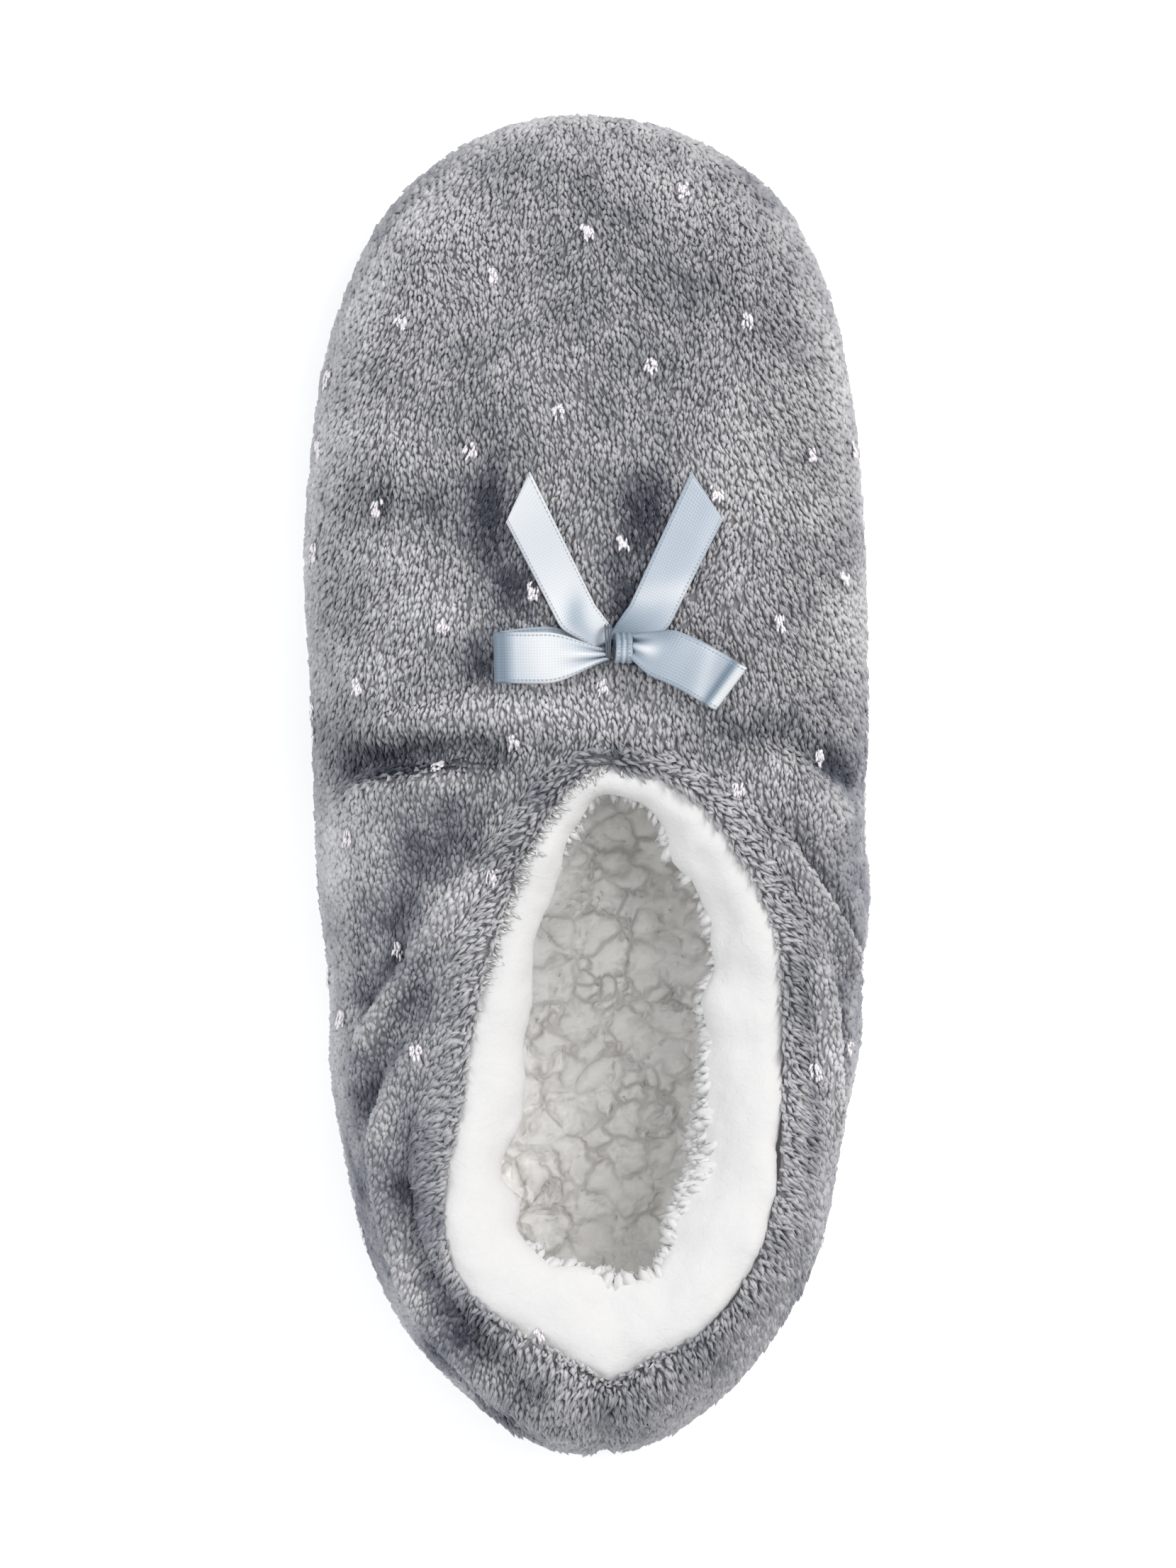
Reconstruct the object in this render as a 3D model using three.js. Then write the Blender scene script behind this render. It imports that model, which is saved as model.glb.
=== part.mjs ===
// A plush house slipper: a sherpa-lined upper with a round collar, on a soft textile sole,
// with a padded insole and a satin ribbon bow on the vamp.
// Millimetres, +Z up, toe towards +Y, standing on z = 0 below the middle of its own length and width.
import * as THREE from 'three';

// Driving sizes of the last and its cloth
const shoeLength = 250;
const ballWidth = 104.5;
const heelHeight = 57;
const sideHeight = 47;
const throatHeight = 50;
const openingLength = 115;
const openingWidth = 62;
const openingFromHeel = 13.5;
const openingShift = 4;
const bulgeHeight = 16;
const wallTuck = 8;
const plushThickness = 2;
const liningThickness = 4.5;
const soleThickness = 5;
const soleLip = 1;
const soleEdgeRound = 2.6;
const toeSpring = 3;
const toeSpringLength = 34;
const heelSpring = 1.5;
const heelSpringLength = 20;
const insoleThickness = 4.5;
const insoleCrown = 1;

// Driving sizes of the ribbon bow
const ribbonWidth = 9.5;
const ribbonThickness = 0.5;
const bowAheadOfThroat = 21.7;
const knotWidth = 4.6;
const knotLength = 6.6;
const knotHeight = 3.8;
const knotRound = 0.9;
const tailWidth = 8.4; // its edges curl, so a tail looks narrower than the ribbon is
const tailLength = 31;
const tailStart = 2.4;
const tailRootSpread = 8.2;
const tailCut = 6;
const tailPinch = 0.8;
const loopPinch = 0.42;
const loopLength = 22.7;
const loopEndRadius = 0.9;
const loopHeight = 4.8;

// Gap between sewn pieces, and how finely the curved skins are cut
const clearance = 0.3;
const stepsAround = 80;
const stepsBelowBulge = 3;
const stepsAboveBulge = 10;
const stepsOfRoll = 4;
const stepsOfRibbon = 9;
const loopEndAngles = [60, 20, -20, -60];
const curveSteps = 400;

// Shape shares: the wall's foot is cut by the sole before its curve is level, a ribbon is open at
// this share of its way, and a loop's arch peaks early
const footAngle = Math.PI / 3;
const crownPower = 0.7;
const ribbonOpenAt = 0.6;
const archPower = 0.8;

const wallThickness = plushThickness + liningThickness;
const zenith = Math.PI / 2;

// Plan of the upper at its widest line. along: share of the length from the heel,
// half: share of half the ball width, mid: shift of the middle as a share of the ball width.
const outlineRows = [
  { along: 0.007, half: 0.190, mid: 0.010 },
  { along: 0.028, half: 0.360, mid: 0.007 },
  { along: 0.070, half: 0.578, mid: 0.007 },
  { along: 0.113, half: 0.718, mid: 0.010 },
  { along: 0.170, half: 0.828, mid: 0.009 },
  { along: 0.239, half: 0.896, mid: 0.005 },
  { along: 0.303, half: 0.941, mid: 0.008 },
  { along: 0.350, half: 0.947, mid: 0.013 },
  { along: 0.408, half: 0.982, mid: 0.012 },
  { along: 0.475, half: 0.982, mid: 0.003 },
  { along: 0.590, half: 0.996, mid: 0.000 },
  { along: 0.704, half: 0.996, mid: -0.005 },
  { along: 0.789, half: 0.952, mid: -0.004 },
  { along: 0.873, half: 0.856, mid: -0.002 },
  { along: 0.937, half: 0.687, mid: -0.001 },
  { along: 0.979, half: 0.421, mid: -0.003 },
  { along: 0.996, half: 0.190, mid: -0.003 },
];
const outlineEndMids = { heel: 0.009, toe: -0.003 };

// Plan of the collar's edge. along: share of the opening's length from its heel point,
// left and right: reach either side of its own middle, as shares of half the opening's width.
const collarRows = [
  { along: 0.020, left: -0.120, right: 0.120 },
  { along: 0.050, left: -0.300, right: 0.300 },
  { along: 0.090, left: -0.580, right: 0.545 },
  { along: 0.145, left: -0.800, right: 0.715 },
  { along: 0.220, left: -0.950, right: 0.870 },
  { along: 0.330, left: -0.965, right: 0.990 },
  { along: 0.440, left: -0.870, right: 1.030 },
  { along: 0.560, left: -0.830, right: 1.030 },
  { along: 0.680, left: -0.730, right: 0.990 },
  { along: 0.780, left: -0.615, right: 0.905 },
  { along: 0.860, left: -0.500, right: 0.760 },
  { along: 0.930, left: -0.360, right: 0.590 },
  { along: 0.978, left: -0.200, right: 0.370 },
];
const throatShift = 0.02; // of half the opening's width, towards +X

// The wall, by its place round the shoe from heel (0) to toe (1) on either side. collar: height of
// the collar that this stretch rises to, bulge: height of the widest line, tuck: how far the wall's
// foot turns in, square: exponent of the curve above the widest line.
const wallRows = [
  { around: 0.00, collar: heelHeight, bulge: 1.15, tuck: 0.75, square: 2.70 },
  { around: 0.04, collar: 0.8 * heelHeight + 0.2 * sideHeight, bulge: 1.15, tuck: 0.85, square: 2.60 },
  { around: 0.20, collar: 0.1 * heelHeight + 0.9 * sideHeight, bulge: 1.10, tuck: 1.05, square: 2.40 },
  { around: 0.38, collar: sideHeight, bulge: 1.05, tuck: 1.15, square: 2.30 },
  { around: 0.65, collar: 0.4 * sideHeight + 0.6 * throatHeight, bulge: 1.00, tuck: 1.05, square: 2.10 },
  { around: 0.90, collar: throatHeight, bulge: 0.90, tuck: 0.90, square: 1.80 },
  { around: 1.00, collar: throatHeight, bulge: 0.85, tuck: 0.85, square: 1.70 },
];

// Side of the sole from its flat tread to its top face. inset: share of the edge's rounding,
// rise: share of the sole's thickness.
const soleEdgeRows = [
  { inset: 1.00, rise: 0.00 },
  { inset: 0.42, rise: 0.14 },
  { inset: 0.08, rise: 0.38 },
  { inset: 0.00, rise: 0.66 },
  { inset: 0.10, rise: 1.00 },
];

// Side of the insole from its underside to its padded top, as shares of its thickness
const insoleEdgeRows = [
  { inset: 0.15, rise: 0.00 },
  { inset: 0.00, rise: 0.35 },
  { inset: 0.10, rise: 0.80 },
  { inset: 0.50, rise: 1.00 },
];

// The bow's ribbons as seen from above. heading: degrees anticlockwise from +X, root: where a tail
// starts, as a share of half the spread of the roots, cut: how much further its left edge reaches
// than its right one, as a share of the tail's cut or of the ribbon's width.
const tails = [
  { name: 'bow_tail_left', heading: 116, root: -1, cut: -1 },
  { name: 'bow_tail_right', heading: 64.5, root: 1, cut: 1 },
];
const loops = [
  { name: 'bow_loop_left', heading: 185.5, cut: 0 },
  { name: 'bow_loop_right', heading: -19.7, cut: 0.3 },
];

const plushGrey = new THREE.MeshStandardMaterial({ color: 0x85868c, roughness: 0.95, metalness: 0 });
const soleGrey = new THREE.MeshStandardMaterial({ color: 0x74757a, roughness: 0.9, metalness: 0 });
const sherpaWhite = new THREE.MeshStandardMaterial({ color: 0xeeece8, roughness: 1, metalness: 0 });
const satinBlue = new THREE.MeshStandardMaterial({ color: 0xb4c3d2, roughness: 0.35, metalness: 0 });

// Smooth curve through one column of a table, read at any place along its first column
function column(rows, place, name) {
  const places = rows.map((row) => row[place]);
  const values = rows.map((row) => row[name]);
  const curve = new THREE.CubicInterpolant(places, values, 1);
  return (at) => curve.evaluate(at)[0];
}

// Closed plan curve from a back point up the right-hand points to a front point and down the left.
// share 0 is the back, 0.5 the front; each side is measured by its own length.
function planCurve(back, right, front, left) {
  const points = [back, ...right, front, ...left.slice().reverse()];
  const curve = new THREE.CatmullRomCurve3(points, true, 'centripetal');
  const lengths = curve.getLengths(curveSteps);
  const frontAt = lengths[curveSteps / 2] / lengths[curveSteps];
  const place = (share) =>
    share <= 0.5 ? 2 * share * frontAt : frontAt + (2 * share - 1) * (1 - frontAt);
  return {
    point: (share) => curve.getPointAt(place(share)),
    inward: (share) => {
      const along = curve.getTangentAt(place(share));
      return new THREE.Vector3(-along.y, along.x, 0).normalize();
    },
  };
}

const heelY = -shoeLength / 2;
const plan = (x, y) => new THREE.Vector3(x, y, 0);

function outlineCurve() {
  const side = (way) => outlineRows.map((row) =>
    plan(ballWidth * (row.mid + way * row.half / 2), heelY + shoeLength * row.along));
  const heel = plan(ballWidth * outlineEndMids.heel, heelY);
  const toe = plan(ballWidth * outlineEndMids.toe, -heelY);
  return planCurve(heel, side(1), toe, side(-1));
}

function collarCurve() {
  const start = heelY + openingFromHeel;
  const reach = openingWidth / 2;
  const side = (name) => collarRows.map((row) =>
    plan(openingShift + reach * row[name], start + openingLength * row.along));
  const heel = plan(openingShift, start);
  const throat = plan(openingShift + reach * throatShift, start + openingLength);
  return planCurve(heel, side('right'), throat, side('left'));
}

const outline = outlineCurve();
const collar = collarCurve();
const wall = {
  collar: column(wallRows, 'around', 'collar'),
  bulge: column(wallRows, 'around', 'bulge'),
  tuck: column(wallRows, 'around', 'tuck'),
  square: column(wallRows, 'around', 'square'),
};

// How far the sole's underside has left the floor at this place along the shoe
function spring(y) {
  const fromToe = Math.max(0, y - (-heelY - toeSpringLength)) / toeSpringLength;
  const fromHeel = Math.max(0, heelY + heelSpringLength - y) / heelSpringLength;
  return toeSpring * fromToe ** 2 + heelSpring * fromHeel ** 2;
}

// Height of the wall's underside, just clear of the sole's top
const footHeight = (y) => soleThickness + clearance + spring(y);

// Everything that one line up the wall needs, at a share of the way round from the heel
function meridian(share) {
  const around = (1 - Math.cos(2 * Math.PI * share)) / 2;
  const rimShare = 0.5 * (1 - (1 - 2 * Math.min(share, 1 - share)) ** 2); // crowds towards the throat
  const edge = outline.point(share);
  const rim = collar.point(share <= 0.5 ? rimShare : 1 - rimShare);
  const inward = outline.inward(share);
  const tuck = wallTuck * wall.tuck(around);
  const footInset = tuck * (1 - Math.cos(footAngle));
  const foot = edge.clone().addScaledVector(inward, footInset);
  const bulge = bulgeHeight * wall.bulge(around) + spring(edge.y);
  return {
    edge,
    rim,
    inward,
    over: rim.clone().sub(edge).normalize(),
    collar: wall.collar(around),
    bulge,
    tuck,
    footInset,
    square: wall.square(around),
    drop: (bulge - footHeight(foot.y)) / Math.sin(footAngle),
  };
}

// A point below the widest line, on a quarter of an ellipse: angle 0 is the widest line
function belowBulge(line, angle) {
  const point = line.edge.clone().addScaledVector(line.inward, line.tuck * (1 - Math.cos(angle)));
  point.z = line.bulge - line.drop * Math.sin(angle);
  return point;
}

// A point above the widest line, on a quarter of a superellipse that ends level at the collar
function aboveBulge(line, angle) {
  const power = 2 / line.square;
  const point = line.edge.clone().lerp(line.rim, 1 - Math.cos(angle) ** power);
  point.z = line.bulge + (line.collar - line.bulge) * Math.sin(angle) ** power;
  return point;
}

function outerRings(lines) {
  const rings = [];
  for (let step = 0; step < stepsBelowBulge; step++) {
    const angle = footAngle * (1 - step / stepsBelowBulge);
    rings.push(lines.map((line) => belowBulge(line, angle)));
  }
  for (let step = 0; step <= stepsAboveBulge; step++) {
    const angle = Math.min(zenith * step / stepsAboveBulge, zenith - 1e-9);
    rings.push(lines.map((line) => aboveBulge(line, angle)));
  }
  return rings;
}

// The inner skin: each ring moved in by the wall's thickness, square to the outer skin
function innerRings(outer, lines) {
  const top = outer.length - 1;
  return outer.map((ring, row) => ring.map((point, i) => {
    if (row === 0) {
      const foot = point.clone().addScaledVector(lines[i].inward, wallThickness);
      foot.z = footHeight(foot.y);
      return foot;
    }
    if (row === top) {
      return point.clone().add(new THREE.Vector3(0, 0, -wallThickness));
    }
    const around = ring[(i + 1) % ring.length].clone().sub(ring[(i + ring.length - 1) % ring.length]);
    const up = outer[row + 1][i].clone().sub(outer[row - 1][i]);
    const outward = around.cross(up).normalize();
    return point.clone().addScaledVector(outward, -wallThickness);
  }));
}

// The soft roll that joins both skins round the collar
function rollRings(lines) {
  const radius = wallThickness / 2;
  const rings = [];
  for (let step = 1; step < stepsOfRoll; step++) {
    const angle = zenith - Math.PI * step / stepsOfRoll;
    rings.push(lines.map((line) => {
      const point = line.rim.clone().addScaledVector(line.over, radius * Math.cos(angle));
      point.z = line.collar - radius + radius * Math.sin(angle);
      return point;
    }));
  }
  return rings;
}

// Triangles between loops of points; each loop has the same count and runs anticlockwise
function skinFaces(loopCount, pointCount, closed) {
  const faces = [];
  for (let row = 0; row < (closed ? loopCount : loopCount - 1); row++) {
    const here = row * pointCount;
    const next = ((row + 1) % loopCount) * pointCount;
    for (let i = 0; i < pointCount; i++) {
      const j = (i + 1) % pointCount;
      faces.push(here + i, here + j, next + j, here + i, next + j, next + i);
    }
  }
  return faces;
}

function solidGeometry(points, faces) {
  const geometry = new THREE.BufferGeometry();
  geometry.setAttribute('position', new THREE.Float32BufferAttribute(points.flatMap((p) => p.toArray()), 3));
  geometry.setIndex(faces);
  geometry.computeVertexNormals();
  return geometry;
}

// Fills one end of a pad with rungs from its right side to its left, raised in the middle by crown
function rungFaces(points, first, count, cells, crown, facingUp) {
  const rows = [[first]];
  for (let i = 1; i < count / 2; i++) {
    const right = first + i;
    const left = first + count - i;
    const row = [right];
    for (let cell = 1; cell < cells; cell++) {
      const share = cell / cells;
      const point = points[right].clone().lerp(points[left], share);
      point.z += crown * Math.sin(Math.PI * share) ** crownPower * Math.sin(Math.PI * 2 * i / count);
      row.push(points.push(point) - 1);
    }
    rows.push([...row, left]);
  }
  rows.push([first + count / 2]);
  const faces = [];
  const face = (a, b, c) => faces.push(...(facingUp ? [a, b, c] : [a, c, b]));
  for (let r = 0; r + 1 < rows.length; r++) {
    const near = rows[r];
    const far = rows[r + 1];
    for (let cell = 0; cell < cells; cell++) {
      const [a, b] = near.length > 1 ? [near[cell], near[cell + 1]] : [near[0], near[0]];
      const [d, c] = far.length > 1 ? [far[cell], far[cell + 1]] : [far[0], far[0]];
      if (d !== c) face(a, d, c);
      if (a !== b) face(a, c, b);
    }
  }
  return faces;
}

// A flat soft layer: rings from its underside to its top, with both ends filled
function padGeometry(lines, inset, rounding, edgeRows, base, thickness, cells, crown) {
  const rings = edgeRows.map((row) => lines.map((line) => {
    const point = line.edge.clone().addScaledVector(line.inward, inset(line) + rounding * row.inset);
    point.z = base + thickness * row.rise + spring(point.y);
    return point;
  }));
  const points = rings.flat();
  const faces = skinFaces(rings.length, lines.length, false);
  const top = (rings.length - 1) * lines.length;
  faces.push(...rungFaces(points, 0, lines.length, cells, 0, false));
  faces.push(...rungFaces(points, top, lines.length, cells, crown, true));
  return solidGeometry(points, faces);
}

// A ribbon: stations each give three points across the ribbon's middle layer, and its way up
function ribbonGeometry(stations) {
  const rings = stations.map(({ across, up }) => {
    const face = (way) => across.map((point) => point.clone().addScaledVector(up, way * ribbonThickness / 2));
    return [...face(-1), ...face(1).reverse()];
  });
  const points = rings.flat();
  const faces = skinFaces(rings.length, 6, false);
  const cap = (at, turn) => [[0, 1, 4], [0, 4, 5], [1, 2, 3], [1, 3, 4]]
    .forEach(([a, b, c]) => faces.push(...(turn ? [at + a, at + c, at + b] : [at + a, at + b, at + c])));
  cap(0, true);
  cap((rings.length - 1) * 6, false);
  return solidGeometry(points, faces);
}

const lines = Array.from({ length: stepsAround }, (_, i) => meridian(i / stepsAround));

function upperGeometry() {
  const outer = outerRings(lines);
  const inner = innerRings(outer, lines).reverse();
  const rings = [...outer, ...rollRings(lines), ...inner];
  return solidGeometry(rings.flat(), skinFaces(rings.length, stepsAround, true));
}

const upper = new THREE.Mesh(upperGeometry(), plushGrey);
upper.name = 'upper';

const soleInset = (line) => line.footInset - soleLip;
const sole = new THREE.Mesh(
  padGeometry(lines, soleInset, soleEdgeRound, soleEdgeRows, 0, soleThickness, 2, 0), soleGrey);
sole.name = 'sole';

const insoleInset = (line) => line.footInset + wallThickness + clearance;
const insole = new THREE.Mesh(
  padGeometry(lines, insoleInset, insoleThickness, insoleEdgeRows,
    soleThickness + clearance, insoleThickness, 6, insoleCrown), sherpaWhite);
insole.name = 'insole';

// Height of the upper's outer skin below a point in plan
const sounder = new THREE.Raycaster();
function vampHeight(x, y) {
  sounder.set(new THREE.Vector3(x, y, 2 * heelHeight), new THREE.Vector3(0, 0, -1));
  return sounder.intersectObject(upper)[0].point.z;
}

const throat = collar.point(0.5);
const bowCentre = plan(throat.x, throat.y + bowAheadOfThroat);
const bowUp = new THREE.Vector3(0, 0, 1);
const ribbonBed = clearance + ribbonThickness / 2; // a ribbon's middle above the plush that it lies on

// Width of a ribbon at a share of its way, gathered at the knot to its pinch
const openedOut = (share, pinch) =>
  pinch + (1 - pinch) * Math.sin(zenith * Math.min(1, share / ribbonOpenAt));

// One station of a ribbon that lies on the plush: lift is the height of its middle layer above it,
// slip is how much further its left edge reaches than its middle
function station(root, heading, { distance, width, lift, up, slip }) {
  const angle = THREE.MathUtils.degToRad(heading);
  const away = plan(Math.cos(angle), Math.sin(angle));
  const left = plan(-Math.sin(angle), Math.cos(angle));
  const across = [-1, 0, 1].map((side) => {
    const point = root.clone().addScaledVector(away, distance + side * slip);
    point.addScaledVector(left, side * width / 2);
    point.z = vampHeight(point.x, point.y) + lift;
    return point;
  });
  return { across, up: up(away) };
}

const upwards = () => bowUp;
const downwards = () => bowUp.clone().negate();

function tailGeometry({ heading, root, cut }) {
  const start = bowCentre.clone().add(plan(root * tailRootSpread / 2, 0));
  const stations = [];
  for (let step = 0; step <= stepsOfRibbon; step++) {
    const share = step / stepsOfRibbon;
    stations.push(station(start, heading, {
      distance: tailStart + (tailLength - tailStart) * share,
      width: tailWidth * openedOut(share, tailPinch),
      lift: ribbonBed,
      up: upwards,
      slip: share * cut * tailCut / 2,
    }));
  }
  return ribbonGeometry(stations);
}

// A loop goes out above, turns over a small round end and comes back below, over the tails
function loopGeometry({ heading, cut }) {
  const start = knotWidth / 2 + clearance + ribbonThickness;
  const reach = loopLength - loopEndRadius;
  const bed = ribbonBed + ribbonThickness + clearance;
  const ends = bed + 2 * loopEndRadius;
  const layer = (share, lift, up) => station(bowCentre, heading, {
    distance: start + (reach - start) * share,
    width: ribbonWidth * openedOut(share, loopPinch),
    lift,
    up,
    slip: share * cut * ribbonWidth / 2,
  });
  const shares = Array.from({ length: stepsOfRibbon + 1 }, (_, step) => step / stepsOfRibbon);
  const above = shares.map((share) =>
    layer(share, ends + (loopHeight - ends) * Math.sin(Math.PI * share ** archPower), upwards));
  const end = loopEndAngles.map((degrees) => {
    const angle = THREE.MathUtils.degToRad(degrees);
    return station(bowCentre, heading, {
      distance: reach + loopEndRadius * Math.cos(angle),
      width: ribbonWidth,
      lift: bed + loopEndRadius * (1 + Math.sin(angle)),
      up: (away) => away.clone().multiplyScalar(Math.cos(angle)).addScaledVector(bowUp, Math.sin(angle)),
      slip: cut * ribbonWidth / 2,
    });
  });
  const below = shares.reverse().map((share) => layer(share, bed, downwards));
  return ribbonGeometry([...above, ...end, ...below]);
}

function knotMesh() {
  const halfWide = knotWidth / 2 - knotRound;
  const halfLong = knotLength / 2 - knotRound;
  const shape = new THREE.Shape();
  shape.moveTo(-halfWide, -halfLong);
  shape.quadraticCurveTo(0, -halfLong - knotRound / 2, halfWide, -halfLong);
  shape.lineTo(halfWide, halfLong);
  shape.quadraticCurveTo(0, halfLong + knotRound / 2, -halfWide, halfLong);
  shape.closePath();
  const geometry = new THREE.ExtrudeGeometry(shape, {
    depth: knotHeight - 2 * knotRound,
    bevelThickness: knotRound,
    bevelSize: knotRound,
    bevelSegments: 3,
    curveSegments: 5,
  });
  const knot = new THREE.Mesh(geometry, satinBlue);
  const corners = [-1, 0, 1].flatMap((a) => [-1, 0, 1].map((b) =>
    vampHeight(bowCentre.x + a * knotWidth / 2, bowCentre.y + b * knotLength / 2)));
  knot.position.copy(bowCentre);
  knot.position.z = Math.max(...corners) + ribbonBed + ribbonThickness / 2 + clearance + knotRound;
  knot.name = 'bow_knot';
  return knot;
}

function ribbonMesh(spec, geometry) {
  const mesh = new THREE.Mesh(geometry, satinBlue);
  mesh.name = spec.name;
  return mesh;
}

const bow = new THREE.Group();
bow.add(knotMesh());
tails.forEach((spec) => bow.add(ribbonMesh(spec, tailGeometry(spec))));
loops.forEach((spec) => bow.add(ribbonMesh(spec, loopGeometry(spec))));

const slipper = new THREE.Group();
slipper.add(upper, sole, insole, bow);

// The origin is on the floor, below the middle of the shoe's own length and width
const extent = new THREE.Box3().setFromObject(slipper);
const middle = extent.getCenter(new THREE.Vector3());
slipper.position.set(-middle.x, -middle.y, -extent.min.z);

export default slipper;
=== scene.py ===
"""Plush house slipper with a sherpa lining and a satin ribbon bow, dressed over its CAD frame."""

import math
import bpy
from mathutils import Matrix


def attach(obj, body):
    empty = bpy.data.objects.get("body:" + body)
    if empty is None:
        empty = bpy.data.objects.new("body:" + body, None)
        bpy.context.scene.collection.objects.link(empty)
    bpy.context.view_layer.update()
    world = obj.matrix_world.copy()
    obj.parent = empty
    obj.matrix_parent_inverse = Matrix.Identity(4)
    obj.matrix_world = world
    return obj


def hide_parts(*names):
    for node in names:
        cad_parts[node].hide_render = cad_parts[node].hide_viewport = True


bl_info = {
    "name": "Plush House Slipper",
    "version": (1, 0, 0),
    "blender": (4, 5, 0),
    "location": "View3D > Sidebar > Slipper",
    "description": "Dresses the slipper's frame in pile plush, sherpa, textile sole and satin ribbon",
    "category": "Object",
}

import bpy
import numpy as np
from bpy.props import FloatProperty, FloatVectorProperty, IntProperty, PointerProperty
from mathutils import Vector, kdtree
from mathutils.bvhtree import BVHTree

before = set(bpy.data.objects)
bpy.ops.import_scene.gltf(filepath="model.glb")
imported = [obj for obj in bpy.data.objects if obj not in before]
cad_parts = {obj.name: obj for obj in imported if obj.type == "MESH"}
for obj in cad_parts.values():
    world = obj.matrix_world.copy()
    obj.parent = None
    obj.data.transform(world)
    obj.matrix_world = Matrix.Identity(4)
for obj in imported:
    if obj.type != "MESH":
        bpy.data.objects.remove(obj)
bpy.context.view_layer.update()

MM = 0.001
BATCH = 8000  # points measured at a time, which keeps the memory small

# Sizes of the last that the dressing follows, in millimetres
SHOE_LENGTH = 250.0
OPENING_LENGTH = 115.0
OPENING_WIDTH = 62.0
OPENING_SHIFT = 4.0
OPENING_FROM_HEEL = 13.5
BOW_CENTRE = (4.6, 25.2)
COLLAR_ZONE = 36.0  # only the collar and its roll lie above this height
TOE_PILE_FROM = 62.0  # where the pile is parted into pieces, along the slipper
VAMP_PILE_FROM = 14.0
STITCH_STRETCH = 1.35  # stitches of the knitted ground are this much closer across than along

# Collar: share of the opening's length from its heel point, reach to left and right as shares of
# half its width, and how wide the turned-over sherpa shows there, in millimetres
COLLAR_ROWS = (
    (0.000, 0.000, 0.000, 17.5, 17.5),
    (0.020, -0.130, 0.135, 17.5, 17.5),
    (0.050, -0.310, 0.340, 17.0, 17.0),
    (0.090, -0.590, 0.620, 16.5, 16.5),
    (0.145, -0.835, 0.805, 15.5, 16.5),
    (0.220, -0.985, 0.950, 15.5, 17.0),
    (0.330, -1.000, 1.050, 15.0, 17.0),
    (0.440, -0.900, 1.070, 13.5, 16.5),
    (0.560, -0.840, 1.065, 12.0, 16.0),
    (0.680, -0.745, 1.025, 9.5, 13.0),
    (0.780, -0.635, 0.935, 7.5, 11.0),
    (0.860, -0.520, 0.780, 7.0, 12.0),
    (0.930, -0.370, 0.595, 5.5, 11.0),
    (0.978, -0.215, 0.370, 3.5, 6.0),
    (1.000, 0.020, 0.020, 2.6, 2.6),
)

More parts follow.
